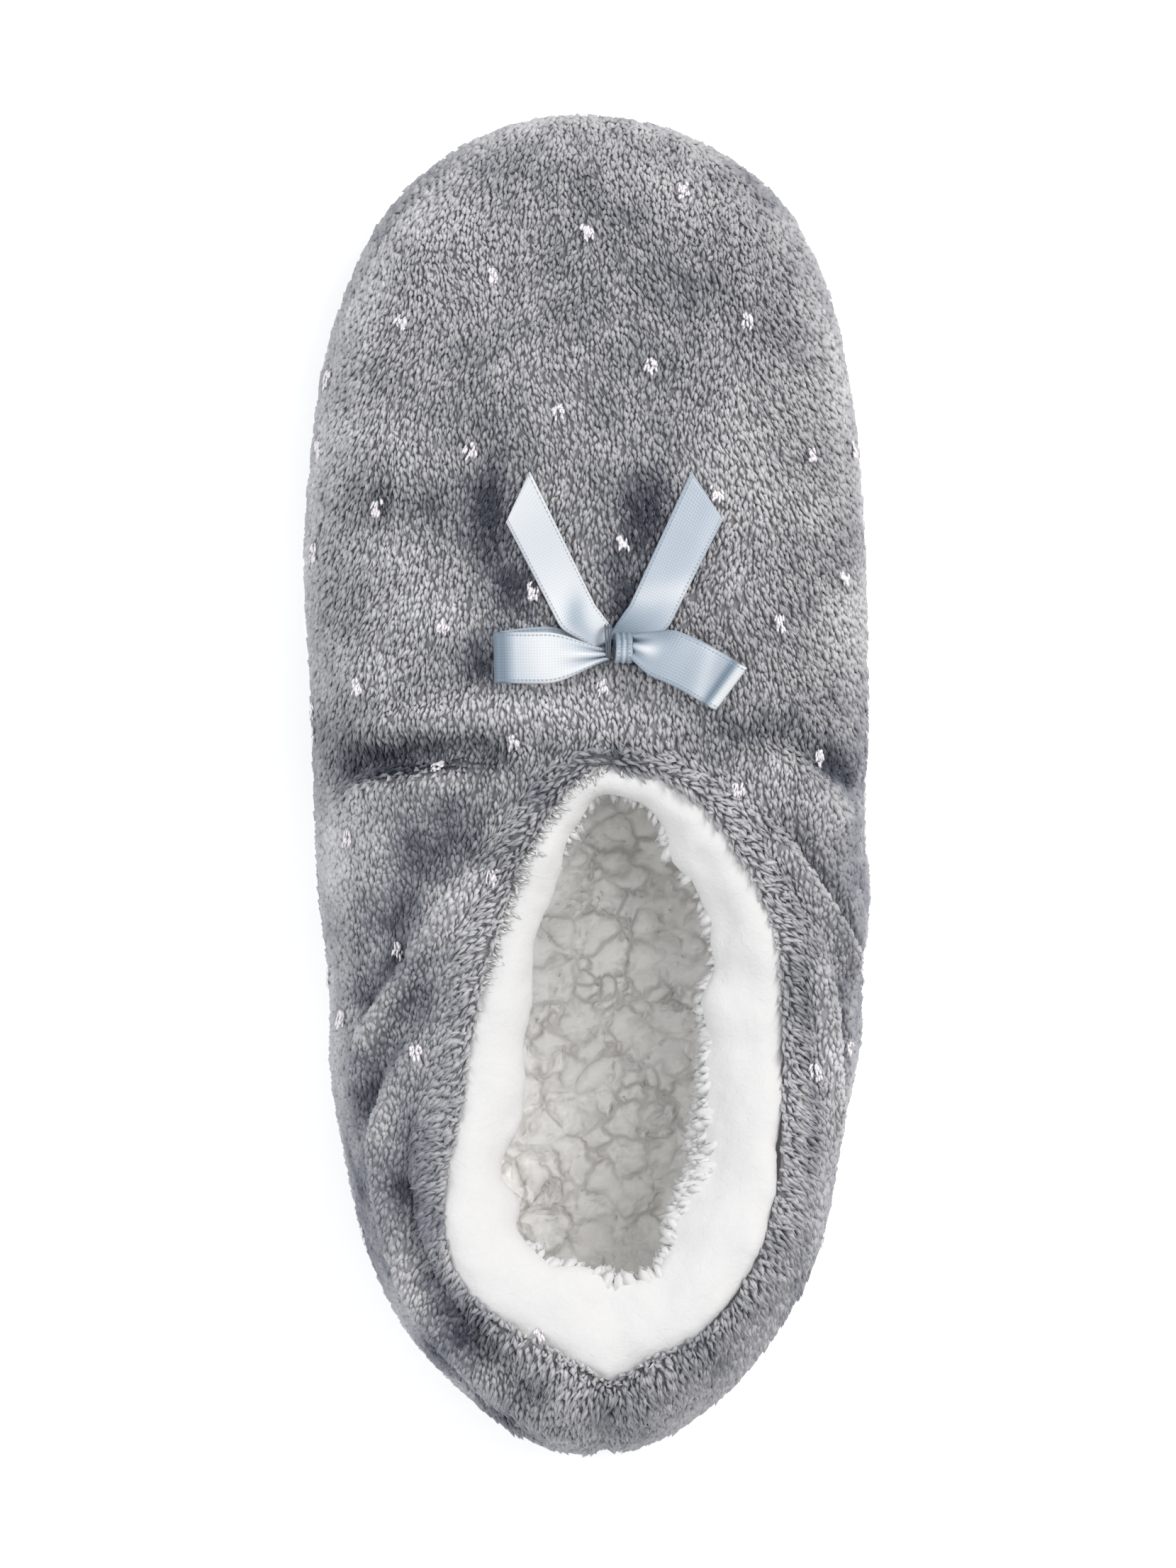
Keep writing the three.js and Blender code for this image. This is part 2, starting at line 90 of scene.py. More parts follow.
# Creases of the soft upper as seen from above, in millimetres: how far each stands proud of the
# plush (less than nothing is a trough), how wide it is, how much painted highlight (above 0) or
# painted shade it lays along itself, and the points that it runs through
FOLDS = {
    "throat trough left": (-3.4, 3.0, -2.2, (
        (-49, 0.6), (-45, 2.0), (-41, 3.6), (-30, 5.4), (-20, 6.0), (-11, 6.4))),
    "throat ridge left": (2.4, 2.6, 0.4, (
        (-46.5, -3.0), (-41, -1.6), (-36, -0.6), (-27, 0.6), (-18, 1.0))),
    "ridge above the throat trough": (1.6, 3.4, 0.4, (
        (-44, 10), (-36, 11), (-26, 12.5), (-12, 14), (0, 14.5))),
    "left valley": (-2.8, 4.5, -0.75, (
        (-19, -4), (-25, -8.5), (-31, -13), (-36, -22), (-41.9, -36))),
    "left inner ridge": (3.0, 1.9, 0.6, (
        (-17, -13), (-24, -21.5), (-28.7, -27), (-32.5, -32.6), (-37, -39.5), (-40.6, -45.6), (-44.0, -52))),
    "left ridge shadow": (-2.6, 3.4, -1.2, (
        (-33, -28.5), (-36.5, -33.5), (-40.5, -38.5), (-44, -43))),
    "left outer valley": (-3.2, 3.2, -1.35, (
        (-28, -36), (-33, -42), (-37.5, -48), (-40.5, -55), (-42.4, -64))),
    "left quarter ridge": (3.0, 2.0, 0.5, (
        (-33, -50), (-37, -57), (-38.8, -65.6), (-38.2, -75.1), (-35.6, -85.1), (-32.8, -93.2),
        (-28.6, -100.1), (-22.7, -106.4), (-18.0, -110.6), (-12.2, -116), (-5.2, -121.2))),
    "left quarter valley": (-2.8, 2.6, -0.85, (
        (-33, -62), (-34.6, -71.5), (-33.6, -80.4), (-31.0, -88.7), (-24.4, -98.2), (-14.5, -108.2),
        (-4, -118.5))),
    "heel valley left": (-3.4, 2.0, -1.1, (
        (-27, -107), (-21.7, -113.2), (-14.3, -119.0), (-8.9, -122.5))),
    "right lapped ridge": (3.2, 1.9, 0.6, (
        (32.2, -7.5), (37.2, -13.2), (41.1, -18.8), (45.4, -25.9), (48.2, -32), (49.6, -36.5))),
    "right lapped trough": (-3.4, 1.7, -1.1, (
        (34.7, -6), (39.7, -11.7), (43.6, -17.3), (47.9, -24.4), (50.7, -30.5), (51.8, -35))),
    "right soft ridge": (1.6, 4.0, 0.35, ((30, 6), (37, 3.1), (44.6, -3.5), (49.5, -8.4))),
    "right soft valley": (-2.0, 3.2, -0.5, ((28, 10), (36, 8.5), (45, 4), (51, 0))),
    "right quarter ridge": (2.4, 2.2, 0.45, (
        (41, -30), (43.6, -38.5), (44.6, -44.6), (45.0, -52.8), (45.4, -61), (45.0, -70))),
    "right quarter trough": (-3.0, 1.6, -0.8, (
        (46.4, -36), (47.4, -44), (47.7, -52), (48.0, -60), (47.6, -68))),
    "right inner valley": (-1.6, 2.6, -0.5, ((39, -28), (40.6, -40), (41.2, -52), (41.5, -64), (40.0, -76))),
    "right bulge": (0.4, 7.0, 0.0, ((53, -12), (53, -24))),
    "right notch": (-1.7, 2.6, -0.2, ((52, -33.5), (52, -37))),
    "right low bulge": (0.6, 5.0, 0.0, ((51, -42), (51, -50))),
    "heel seam": (-1.8, 1.5, -0.8, ((4, -110.5), (3.2, -117), (2.8, -124), (2.8, -126))),
    "heel bulge left": (1.6, 5.0, 0.2, ((-8, -114), (-4, -119))),
    "heel bulge right": (1.6, 5.0, 0.2, ((11, -113), (8, -119))),
    "vamp dip left": (-0.9, 9.0, 0.0, ((-38, 28), (-30, 20))),
    "vamp dip right": (-0.8, 9.0, 0.0, ((46, 30), (42, 12))),
}

# Patches of darker or lighter plush, partly where the nap lies the other way and partly painted
# shadow under the bow's tails and painted light along the flanks: x, y, reach along x and y in
# millimetres, and how much darker (less than nothing) or lighter
NAP_AND_PAINTED_LIGHT_PATCHES = (
    (6, 105, 8, 5, -0.33), (17, 93, 8, 6, -0.3), (-7, 97, 8, 5, -0.27), (-1, 88, 6, 5, -0.3),
    (-38, 77, 6, 6, -0.25), (-28, 84, 9, 5, -0.1), (26, 76, 8, 6, -0.2), (-42, 53, 8, 4, -0.3),
    # the darkest patches, beside and below the bow's tails, are painted shadow
    (-30, 52, 8, 4, -0.3), (-18, 50, 4.5, 9, -1.0), (-13, 36, 5, 8, -0.9), (-20, 24, 4, 6, -0.85),
    (11, 51, 4.5, 9, -1.0), (7, 36, 3.5, 9, -0.95), (38, 58, 7, 6, -0.3), (48, 45, 5, 7, -0.6),
    (37, 45, 7, 5, -0.25), (42, 15, 8, 7, -0.3), (28, 10, 10, 4, -0.5), (-31, -11, 8, 6, -0.3),
    (36, -8, 6, 4, -0.35), (5, -115, 7, 5, -0.5), (-21, -102, 7, 6, -0.3), (22, 24, 10, 5, -0.2),
    (-32, 99, 12, 12, 0.42), (0, 116, 24, 9, -0.2), (36, 99, 10, 10, -0.2), (20, -112, 8, 6, 0.2),
    (46, 84, 7, 16, 0.4), (-41, 66, 9, 6, 0.55), (-33, 35, 9, 6, 0.4), (-47, 11, 6, 4, -0.15),
    (-40, 21, 9, 5, 0.5), (-26, 31, 8, 4, 0.4), (-1, 13, 12, 4, 0.5), (14, 15, 8, 4, 0.35),
    (47, 29, 6, 8, 0.65), (28, 60, 8, 7, 0.3), (31, 36, 7, 6, 0.35), (-47, -14, 4, 9, 0.45),
    (-20, -24, 5, 6, 0.3), (-35, -48, 4, 5, 0.35), (49, -10, 5, 12, -0.45), (49, -39, 5, 10, -0.45),
    (-49, 88, 5, 18, 0.35), (-49, 55, 4, 14, 0.3), (-40, -90, 5, 11, -0.45), (-31, -106, 7, 6, -0.55),
    (-17, -118, 9, 5, -0.55), (-8, 80, 10, 8, 0.15), (-24, -103, 7, 6, -0.2), (-27, -80, 4, 6, -0.3),
    (-28, 108, 9, 7, 0.35), (-30, 61, 9, 6, 0.3), (-42, 100, 6, 16, 0.3), (-30, -58, 4, 14, -0.25),
    (45, 50, 5, 12, 0.35), (6, 5, 20, 4, -0.2), (-20, -2, 12, 3, -0.4), (-30, -31, 6, 7, -0.55),
    (-35, -76, 7, 20, -0.55), (47, -75, 4, 14, -0.35), (0, 20, 12, 3, 0.3), (10, -121, 5, 4, -0.4),
    (-42, -60, 3, 5, -0.45), (-33, -90, 3, 12, 0.3), (33, -20, 5, 14, 0.25), (38, -50, 3, 20, 0.2),
    (-14, 15, 12, 4, 0.25), (47, -88, 5, 20, 0.25), (-37, 43, 9, 4, 0.5), (10, 32, 4, 4, -0.6),
    (45, 3, 5, 5, -0.9), (20, 83, 8, 6, -0.15), (-20, 80, 9, 6, -0.3), (40, -92, 6, 12, -0.25),
    (-41, -74, 5, 10, -0.3), (-22, -15, 6, 9, -0.15),
)

# Silver specks knitted into the plush, seen from above in millimetres
SPECKS = (
    (17.6, 109.5), (0.1, 101.7), (-17.3, 93.7), (-34.1, 85.1), (29.2, 85.6), (11.6, 77.2),
    (-5.4, 68.6), (-21.5, 61.3), (40.8, 60.6), (-47.9, 75.0), (-38.6, 50.9), (23.6, 53.6),
    (6.4, 44.1), (-10.0, 35.5), (-50.2, 43.0), (46.4, 37.8), (-26.2, 29.0), (35.1, 29.5),
    (-42.1, 18.0), (2.8, 17.9), (-50.2, 8.7), (-13.2, 8.1), (-27.8, 2.4), (41.8, 4.7),
    (27.7, -0.8), (-43.6, -10.3), (-18.4, -17.1), (-34.5, -31.0), (-44.7, -43.9), (-31.9, -50.2),
    (42.0, -53.6), (47.7, -48.9), (-9.3, -103.2),
)
STRIPS_PER_SPECK = 18
# The same specks lower down on the side walls: x side, y and height in millimetres
SIDE_SPECKS = tuple(
    (side, y, height)
    for side in (-1, 1)
    for y, height in ((86, 12), (62, 22), (38, 10), (14, 22), (-12, 10), (-36, 22), (-60, 10), (-84, 24))
)


def linear(code):
    """Linear colour from an sRGB hex code."""
    values = [int(code[i:i + 2], 16) / 255 for i in (1, 3, 5)]
    return tuple(v / 12.92 if v <= 0.04045 else ((v + 0.055) / 1.055) ** 2.4 for v in values)


# Curves, fields and distances, all in millimetres

def smooth_line(points, closed=False, steps=8):
    """Curve through the points, with each span cut into steps."""
    pts = np.asarray(points, float)
    count = len(pts)
    out = []
    for i in range(count if closed else count - 1):
        if closed:
            a, b, c, d = (pts[(i + k) % count] for k in (-1, 0, 1, 2))
        else:
            b, c = pts[i], pts[i + 1]
            a = pts[i - 1] if i else 2 * b - c
            d = pts[i + 2] if i + 2 < count else 2 * c - b
        for t in np.arange(steps) / steps:
            out.append(0.5 * (2 * b + (c - a) * t + (2 * a - 5 * b + 4 * c - d) * t ** 2
                              + (3 * b - a - 3 * c + d) * t ** 3))
    if not closed:
        out.append(pts[-1])
    return np.array(out)


def collar_line():
    """Plan of the collar's edge, and beside each point the width of sherpa that shows there."""
    start = OPENING_FROM_HEEL - SHOE_LENGTH / 2
    reach = OPENING_WIDTH / 2
    rows = COLLAR_ROWS
    right = [(OPENING_SHIFT + reach * r, start + OPENING_LENGTH * a, wr) for a, _, r, _, wr in rows]
    left = [(OPENING_SHIFT + reach * l, start + OPENING_LENGTH * a, wl) for a, l, _, wl, _ in rows[1:-1]]
    line = smooth_line(right + left[::-1], closed=True, steps=5)
    return line[:, :2], line[:, 2]


def edge_distance(points, line):
    """How far points are inside a closed plan line, the way inwards, and the nearest line point."""
    a, b = line, np.roll(line, -1, 0)
    d = b - a
    length2 = (d ** 2).sum(1)
    inside_by = np.empty(len(points))
    inwards = np.empty((len(points), 2))
    nearest = np.empty(len(points), int)
    for first in range(0, len(points), BATCH):
        p = points[first:first + BATCH, None, :2]
        t = np.clip(((p - a) * d).sum(2) / length2, 0, 1)
        off = p - (a + t[..., None] * d)
        dist = np.sqrt((off ** 2).sum(2))
        k = dist.argmin(1)
        rows = np.arange(len(k))
        crosses = (a[:, 1] > p[..., 1]) != (b[:, 1] > p[..., 1])
        at = a[:, 0] + (p[..., 1] - a[:, 1]) * d[:, 0] / np.where(d[:, 1] == 0, 1e-9, d[:, 1])
        inside = (crosses & (p[..., 0] < at)).sum(1) % 2 == 1
        sign = np.where(inside, 1.0, -1.0)
        way = off[rows, k] * sign[:, None]
        size = np.maximum(np.linalg.norm(way, axis=1, keepdims=True), 1e-6)
        part = slice(first, first + len(k))
        inside_by[part] = dist[rows, k] * sign
        inwards[part] = way / size
        nearest[part] = k
    return inside_by, inwards, nearest


def line_distance(points, line):
    """Distance of points from an open line in space, and how far along it they lie, 0 to 1."""
    a, b = line[:-1], line[1:]
    d = b - a
    length = np.linalg.norm(d, axis=1)
    starts = np.concatenate(([0], np.cumsum(length)))
    dist = np.empty(len(points))
    along = np.empty(len(points))
    for first in range(0, len(points), BATCH):
        p = points[first:first + BATCH, None]
        t = np.clip(((p - a) * d).sum(2) / np.maximum(length, 1e-9) ** 2, 0, 1)
        gap = np.linalg.norm(p - (a + t[..., None] * d), axis=2)
        k = gap.argmin(1)
        rows = np.arange(len(k))
        part = slice(first, first + len(k))
        dist[part] = gap[rows, k]
        along[part] = (starts[k] + t[rows, k] * length[k]) / starts[-1]
    return dist, along


def ripple(points, size, seed, waves=28):
    """Smooth random field, about -1 to 1, with patches of about that size."""
    rng = np.random.default_rng(seed)
    way = rng.normal(size=(waves, 3))
    way /= np.linalg.norm(way, axis=1, keepdims=True)
    wave = way * (math.pi / size) * rng.uniform(0.6, 1.5, (waves, 1))
    phase = rng.uniform(0, 2 * math.pi, waves)
    return np.cos(points @ wave.T + phase).sum(1) * math.sqrt(2 / waves) / 1.6


def ease(low, high, value):
    """Smooth step from 0 at low to 1 at high."""
    t = np.clip((np.asarray(value, float) - low) / (high - low), 0, 1)
    return t * t * (3 - 2 * t)


def brushed(points):
    """1 where the plush is worn smooth, on the quarters and flanks, and 0 on the vamp."""
    quarters = ease(-16, -26, points[:, 0]) * ease(2, -8, points[:, 1])
    quarters = np.maximum(quarters, ease(38, 45, points[:, 0]) * ease(12, 0, points[:, 1]))
    return np.maximum(quarters, 0.7 * ease(30, 18, points[:, 2]))


def unit(vectors):
    """Vectors of the same directions and length 1."""
    return vectors / np.maximum(np.linalg.norm(vectors, axis=-1, keepdims=True), 1e-9)


def nap_and_painted_light(points):
    """Lighter (above 0) or darker plush at these places: a soft random mottle, the patches of nap, painted
    bow shadow and painted light, and the creases' painted shade and highlight.
    """
    tone = 0.16 * ripple(points, 16, 11) + 0.1 * ripple(points, 7, 12) + 0.13 * ripple(points, 3.4, 13)
    for x, y, reach_x, reach_y, amount in NAP_AND_PAINTED_LIGHT_PATCHES:
        away = ((points[:, 0] - x) / reach_x) ** 2 + ((points[:, 1] - y) / reach_y) ** 2
        tone += amount * np.exp(-away) * (points[:, 2] > 20)
    return np.clip(tone + fold_effect(points)[1], -1, 1)


# Handling of objects

def pick(*objs):
    """Select only these objects, the first one active."""
    if bpy.context.object and bpy.context.object.mode != "OBJECT":
        bpy.ops.object.mode_set(mode="OBJECT")
    bpy.ops.object.select_all(action="DESELECT")
    for obj in objs:
        obj.select_set(True)
    bpy.context.view_layer.objects.active = objs[0]


def apply_modifier(obj, kind, **settings):
    """Add one modifier, set it and apply it."""
    pick(obj)
    mod = obj.modifiers.new(kind.title(), kind)
    for key, value in settings.items():
        setattr(mod, key, value)
    bpy.ops.object.modifier_apply(modifier=mod.name)


def place_of(obj):
    """Vertices of an object as rows, in millimetres."""
    co = np.empty(len(obj.data.vertices) * 3, np.float32)
    obj.data.vertices.foreach_get("co", co)
    return co.reshape(-1, 3).astype(float) / MM


def set_place(obj, points):
    """Move an object's vertices to these rows, in millimetres."""
    obj.data.vertices.foreach_set("co", (points * MM).astype(np.float32).ravel())
    obj.data.update()


def normals_of(obj):
    """Normals of an object's vertices as rows."""
    values = np.empty(len(obj.data.vertices) * 3, np.float32)
    obj.data.vertex_normals.foreach_get("vector", values)
    return values.reshape(-1, 3).astype(float)


def faces_of(obj):
    """Centres, normals and areas of an object's faces, in millimetres."""
    polygons = obj.data.polygons
    centre = np.empty(len(polygons) * 3, np.float32)
    normal = np.empty(len(polygons) * 3, np.float32)
    area = np.empty(len(polygons), np.float32)
    polygons.foreach_get("center", centre)
    polygons.foreach_get("normal", normal)
    polygons.foreach_get("area", area)
    return (centre.reshape(-1, 3).astype(float) / MM, normal.reshape(-1, 3).astype(float),
            area.astype(float) / MM ** 2)


def mark(obj, name, values):
    """Keep one number per vertex, for the material."""
    layer = obj.data.attributes.new(name, "FLOAT", "POINT")
    layer.data.foreach_set("value", np.asarray(values, np.float32))


def copy_of_node(node, name):
    """A new object with a merged copy of a CAD node's mesh."""
    obj = bpy.data.objects.new(name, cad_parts[node].data.copy())
    obj.data.name = name
    obj.data.materials.clear()
    bpy.context.scene.collection.objects.link(obj)
    pick(obj)
    bpy.ops.object.mode_set(mode="EDIT")
    bpy.ops.mesh.select_all(action="SELECT")
    bpy.ops.mesh.remove_doubles(threshold=1e-6)
    bpy.ops.object.mode_set(mode="OBJECT")
    return obj


def recut(obj, voxel, stretch=1.0, softness=0):
    """Cut a closed skin anew into even quads, narrower along X by the stretch, and soften it."""
    points = place_of(obj)
    points[:, 0] *= stretch
    set_place(obj, points)
    apply_modifier(obj, "REMESH", mode="VOXEL", voxel_size=voxel * MM, use_smooth_shade=True)
    points = place_of(obj)
    points[:, 0] /= stretch
    set_place(obj, points)
    if softness:
        apply_modifier(obj, "SMOOTH", factor=0.5, iterations=softness)


def drop_faces(obj, unwanted):
    """Delete the faces that the flags name."""
    pick(obj)
    obj.data.polygons.foreach_set("select", np.zeros(len(unwanted), bool))
    bpy.ops.object.mode_set(mode="EDIT")
    bpy.ops.mesh.select_mode(type="FACE")
    bpy.ops.mesh.select_all(action="DESELECT")
    bpy.ops.object.mode_set(mode="OBJECT")
    obj.data.polygons.foreach_set("select", np.asarray(unwanted, bool))
    bpy.ops.object.mode_set(mode="EDIT")
    bpy.ops.mesh.delete(type="FACE")
    bpy.ops.object.mode_set(mode="OBJECT")


def hand_over(obj, material, slot, *nodes, smooth=True):
    """Finish a piece: its material, shading, body and CAD node; the slot is not used."""
    obj.data.materials.clear()
    obj.data.materials.append(material)
    if smooth:
        obj.data.polygons.foreach_set("use_smooth", np.ones(len(obj.data.polygons), bool))
    obj.data.update()
    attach(obj, "root")
    if nodes:
        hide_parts(*nodes)


def triangle_object(name, points, faces, marks):
    """An object of many small joined pieces, points in millimetres, with numbers per vertex."""
    mesh = bpy.data.meshes.new(name)
    mesh.vertices.add(len(points))
    mesh.vertices.foreach_set("co", (points * MM).astype(np.float32).ravel())
    mesh.loops.add(len(faces) * 3)
    mesh.loops.foreach_set("vertex_index", faces.astype(np.int32).ravel())
    mesh.polygons.add(len(faces))
    mesh.polygons.foreach_set("loop_start", np.arange(0, len(faces) * 3, 3, dtype=np.int32))
    mesh.update(calc_edges=True)
    obj = bpy.data.objects.new(name, mesh)
    bpy.context.scene.collection.objects.link(obj)
    for key, values in marks.items():
        mark(obj, key, values)
    return obj


def tufts(root, way, up, length, width, height, curl=None):
    """Slim locks of pile: each a three-sided spindle from its root along its way.

    With a curl the lock has two rings and bends sideways by it; without, one ring.
    Returns points, faces and how far up the lock each point is."""
    across = unit(np.cross(way, up))
    up = np.cross(across, way)
    rings = (0.45,) if curl is None else (0.3, 0.7)
    corners = ((-0.5, 0.0), (0.5, 0.0), (0.0, 1.0))
    rows = [root]
    reach = [np.zeros(len(root))]
    for at in rings:
        middle = root + way * (length * at)[:, None]
        if curl is not None:
            middle = middle + across * (curl * math.sin(math.pi * at * 0.9))[:, None]
        for side, rise in corners:
            rows.append(middle + across * (side * width)[:, None] + up * (rise * height)[:, None])
            # the top corner counts a little further up, so the pile's colour ramp paints each tuft's top
            # lighter than its flanks
            reach.append(np.full(len(root), at + 0.25 * rise))
    tip = root + way * length[:, None] + up * (0.35 * height)[:, None]
    rows.append(tip)
    reach.append(np.ones(len(root)))
    count = len(rows)
    points = np.stack(rows, 1).reshape(-1, 3)
    reach = np.stack(reach, 1).reshape(-1)
    pattern = []
    for i in range(3):
        j = (i + 1) % 3
        pattern.append((0, 1 + j, 1 + i))
        if len(rings) == 2:
            pattern += [(1 + i, 1 + j, 4 + j), (1 + i, 4 + j, 4 + i)]
        last = count - 4
        pattern.append((last + i, last + j, count - 1))
    faces = np.array(pattern)[None] + (np.arange(len(root)) * count)[:, None, None]
    return points, faces.reshape(-1, 3), reach, count


def seeds_on(points, size, seed):
    """One random point of the surface for each cell of that size."""
    rng = np.random.default_rng(seed)
    order = rng.permutation(len(points))
    cell = np.floor(points[order] / size + rng.uniform(0, 1, 3)).astype(int)
    _, first = np.unique(cell, axis=0, return_index=True)
    return points[order[first]]


def clump_relief(points, size, seed):
    """Height of rounded clumps of fleece, 0 in the crevices between them and 1 on top."""
    seeds = seeds_on(points, size, seed)
    tree = kdtree.KDTree(len(seeds))
    for i, place in enumerate(seeds):
        tree.insert(place, i)
    tree.balance()
    found = np.array([[hit[2] for hit in tree.find_n(p, 2)] for p in points])
    crease = 1 - np.exp(-(found[:, 1] - found[:, 0]) / (0.2 * size))
    dome = np.clip(1 - (found[:, 0] / (0.8 * size)) ** 2, 0, 1)
    return 0.6 * crease + 0.4 * dome


def fleece_relief(points, settings, seed):
    """Relief of clumped fleece in millimetres, and 0 in its crevices to 1 on its tops."""
    sway = np.stack([ripple(points, 5, seed + k) for k in (7, 8, 9)], 1)
    bent = points + 1.2 * sway
    size, height = settings.clump_size / MM, settings.clump_height / MM
    big = clump_relief(bent, size, seed)
    small = clump_relief(bent, 0.46 * size, seed + 1)
    return (height * (big - 0.6) + 0.42 * height * (small - 0.6),
            np.clip(0.5 * big + 0.5 * small, 0, 1))


# Shape of the worn cloth

COLLAR, SHERPA_WIDTH = collar_line()


def surface_of(obj):
    """An object's surface, in millimetres, for finding where rays meet it."""
    return BVHTree.FromPolygons([v.co / MM for v in obj.data.vertices],
                                [tuple(p.vertices) for p in obj.data.polygons])


def upper_tree():
    """Surface of the CAD upper, on which the dressing is laid."""
    return surface_of(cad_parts["upper"])


def drop_onto(tree, x, y):
    """Highest point of the upper at a place seen from above, or its nearest flank, in millimetres."""
    hit = tree.ray_cast(Vector((x, y, 200)), Vector((0, 0, -1)))
    if hit[0] is None:
        hit = tree.find_nearest(Vector((x, y, 18)))
    return np.array(hit[0]), np.array(hit[1])


def collar_heights(tree):
    """Height of the collar beside each point of its line."""
    centre = COLLAR.mean(0)
    rise = []
    for x, y in COLLAR:
        out = unit(np.array((x, y)) - centre)
        rise.append(max(drop_onto(tree, x + out[0] * k, y + out[1] * k)[0][2] for k in (0.2, 1.0)))
    return np.array(rise)


def faces_inwards(centre, normal):
    """Whether faces of the upper's wall look into the slipper."""
    axis = np.stack([np.full(len(centre), 2.0), np.clip(centre[:, 1], -95, 85),
                     np.full(len(centre), 22.0)], 1)
    return ((centre - axis) * normal).sum(1) < 0


def lay_folds(tree):
    """The creases' lines laid on the upper, kept for every piece of plush."""
    return {name: np.array([drop_onto(tree, x, y)[0] for x, y in smooth_line(plan, steps=4)])
            for name, (_, _, _, plan) in FOLDS.items()}


FOLD_LINES = lay_folds(upper_tree())


def fold_effect(points):
    """How far the creases lift the plush at these points, in millimetres, and the painted shade and highlight
    that they lay on it.
    """
    lift, tone = np.zeros(len(points)), np.zeros(len(points))
    for name, (depth, width, shade, _) in FOLDS.items():
        line = FOLD_LINES[name]
        near = ((points > line.min(0) - 4 * width) & (points < line.max(0) + 4 * width)).all(1)
        dist, along = line_distance(points[near], line)
        fade = ease(0, 0.22, along) * ease(0, 0.22, 1 - along)
        lift[near] += depth * np.exp(-(dist / width) ** 2) * (0.25 + 0.75 * fade)
        # painted shade along the troughs and painted highlight along the ridges
        tone[near] += shade * np.exp(-(dist / (1.1 * width)) ** 2) * fade
    return lift, tone


# Materials

def new_material(name):
    """A material with its node tree and its surface node."""
    mat = bpy.data.materials.new(name)
    mat.use_nodes = True
    return mat, mat.node_tree, mat.node_tree.nodes["Principled BSDF"]


def add_node(tree, kind, links=None, **settings):
    """Add one node; settings are properties or the names of input sockets, and links feed its
    inputs from other nodes or with a plain value."""
    node = tree.nodes.new(kind)
    for key, value in settings.items():
        if hasattr(node, key):
            setattr(node, key, value)
        else:
            node.inputs[key.replace("_", " ")].default_value = value
    for key, source in (links or {}).items():
        if isinstance(source, bpy.types.NodeSocket):
            tree.links.new(source, node.inputs[key])
        else:
            node.inputs[key].default_value = source
    return node


def plush_cloth(name, settings):
    """Coral-fleece plush of fine polyester: soft matt tufts with painted shade darkening them towards
    their roots, painted shade and highlight from the tone, and a bluish sheen where the pile is seen edge on."""
    mat, tree, bsdf = new_material(name)
    reach = add_node(tree, "ShaderNodeAttribute", attribute_name="reach")
    tone = add_node(tree, "ShaderNodeAttribute", attribute_name="tone")
    # painted shade: dark at the tufts' roots and on the ground between them, pale at their tips, by how far
    # up the pile each point lies
    ramp = add_node(tree, "ShaderNodeValToRGB", {"Fac": reach.outputs["Fac"]})
    ramp.color_ramp.elements[0].color = (*settings.root_shade_colour, 1)
    ramp.color_ramp.elements[1].color = (*settings.tip_colour, 1)
    ramp.color_ramp.elements[1].position = 0.9
    level = add_node(tree, "ShaderNodeMapRange", {"Value": tone.outputs["Fac"]},
                     From_Min=-1.0, From_Max=1.0, To_Min=0.0, To_Max=1.0)
    shade = add_node(tree, "ShaderNodeValToRGB", {"Fac": level.outputs["Result"]})
    # painted shade, bluer as it darkens, in the creases' troughs, under the bow and where the nap lies
    # away from the light; painted highlight on the ridges and flanks
    shade.color_ramp.elements[0].color = (*linear("#494d58"), 1)
    shade.color_ramp.elements[1].color = (*linear("#fffffe"), 1)
    middle = shade.color_ramp.elements.new(0.5)
    middle.color = (*linear("#cdcdce"), 1)
    shadow = shade.color_ramp.elements.new(0.25)
    shadow.color = (*linear("#9d9fa5"), 1)
    tinted = add_node(tree, "ShaderNodeVectorMath", {0: ramp.outputs["Color"], 1: shade.outputs["Color"]},
                      operation="MULTIPLY")
    tint = add_node(tree, "ShaderNodeVectorMath", {0: tinted.outputs["Vector"]}, operation="SCALE",
                    Scale=1.6)
    tree.links.new(tint.outputs["Vector"], bsdf.inputs["Base Color"])
    bsdf.inputs["Roughness"].default_value = 0.85
    bsdf.inputs["Specular IOR Level"].default_value = 0.25
    bsdf.inputs["Sheen Weight"].default_value = 0.45
    bsdf.inputs["Sheen Roughness"].default_value = 0.45
    bsdf.inputs["Sheen Tint"].default_value = (*linear("#d4d8e6"), 1)
    return mat


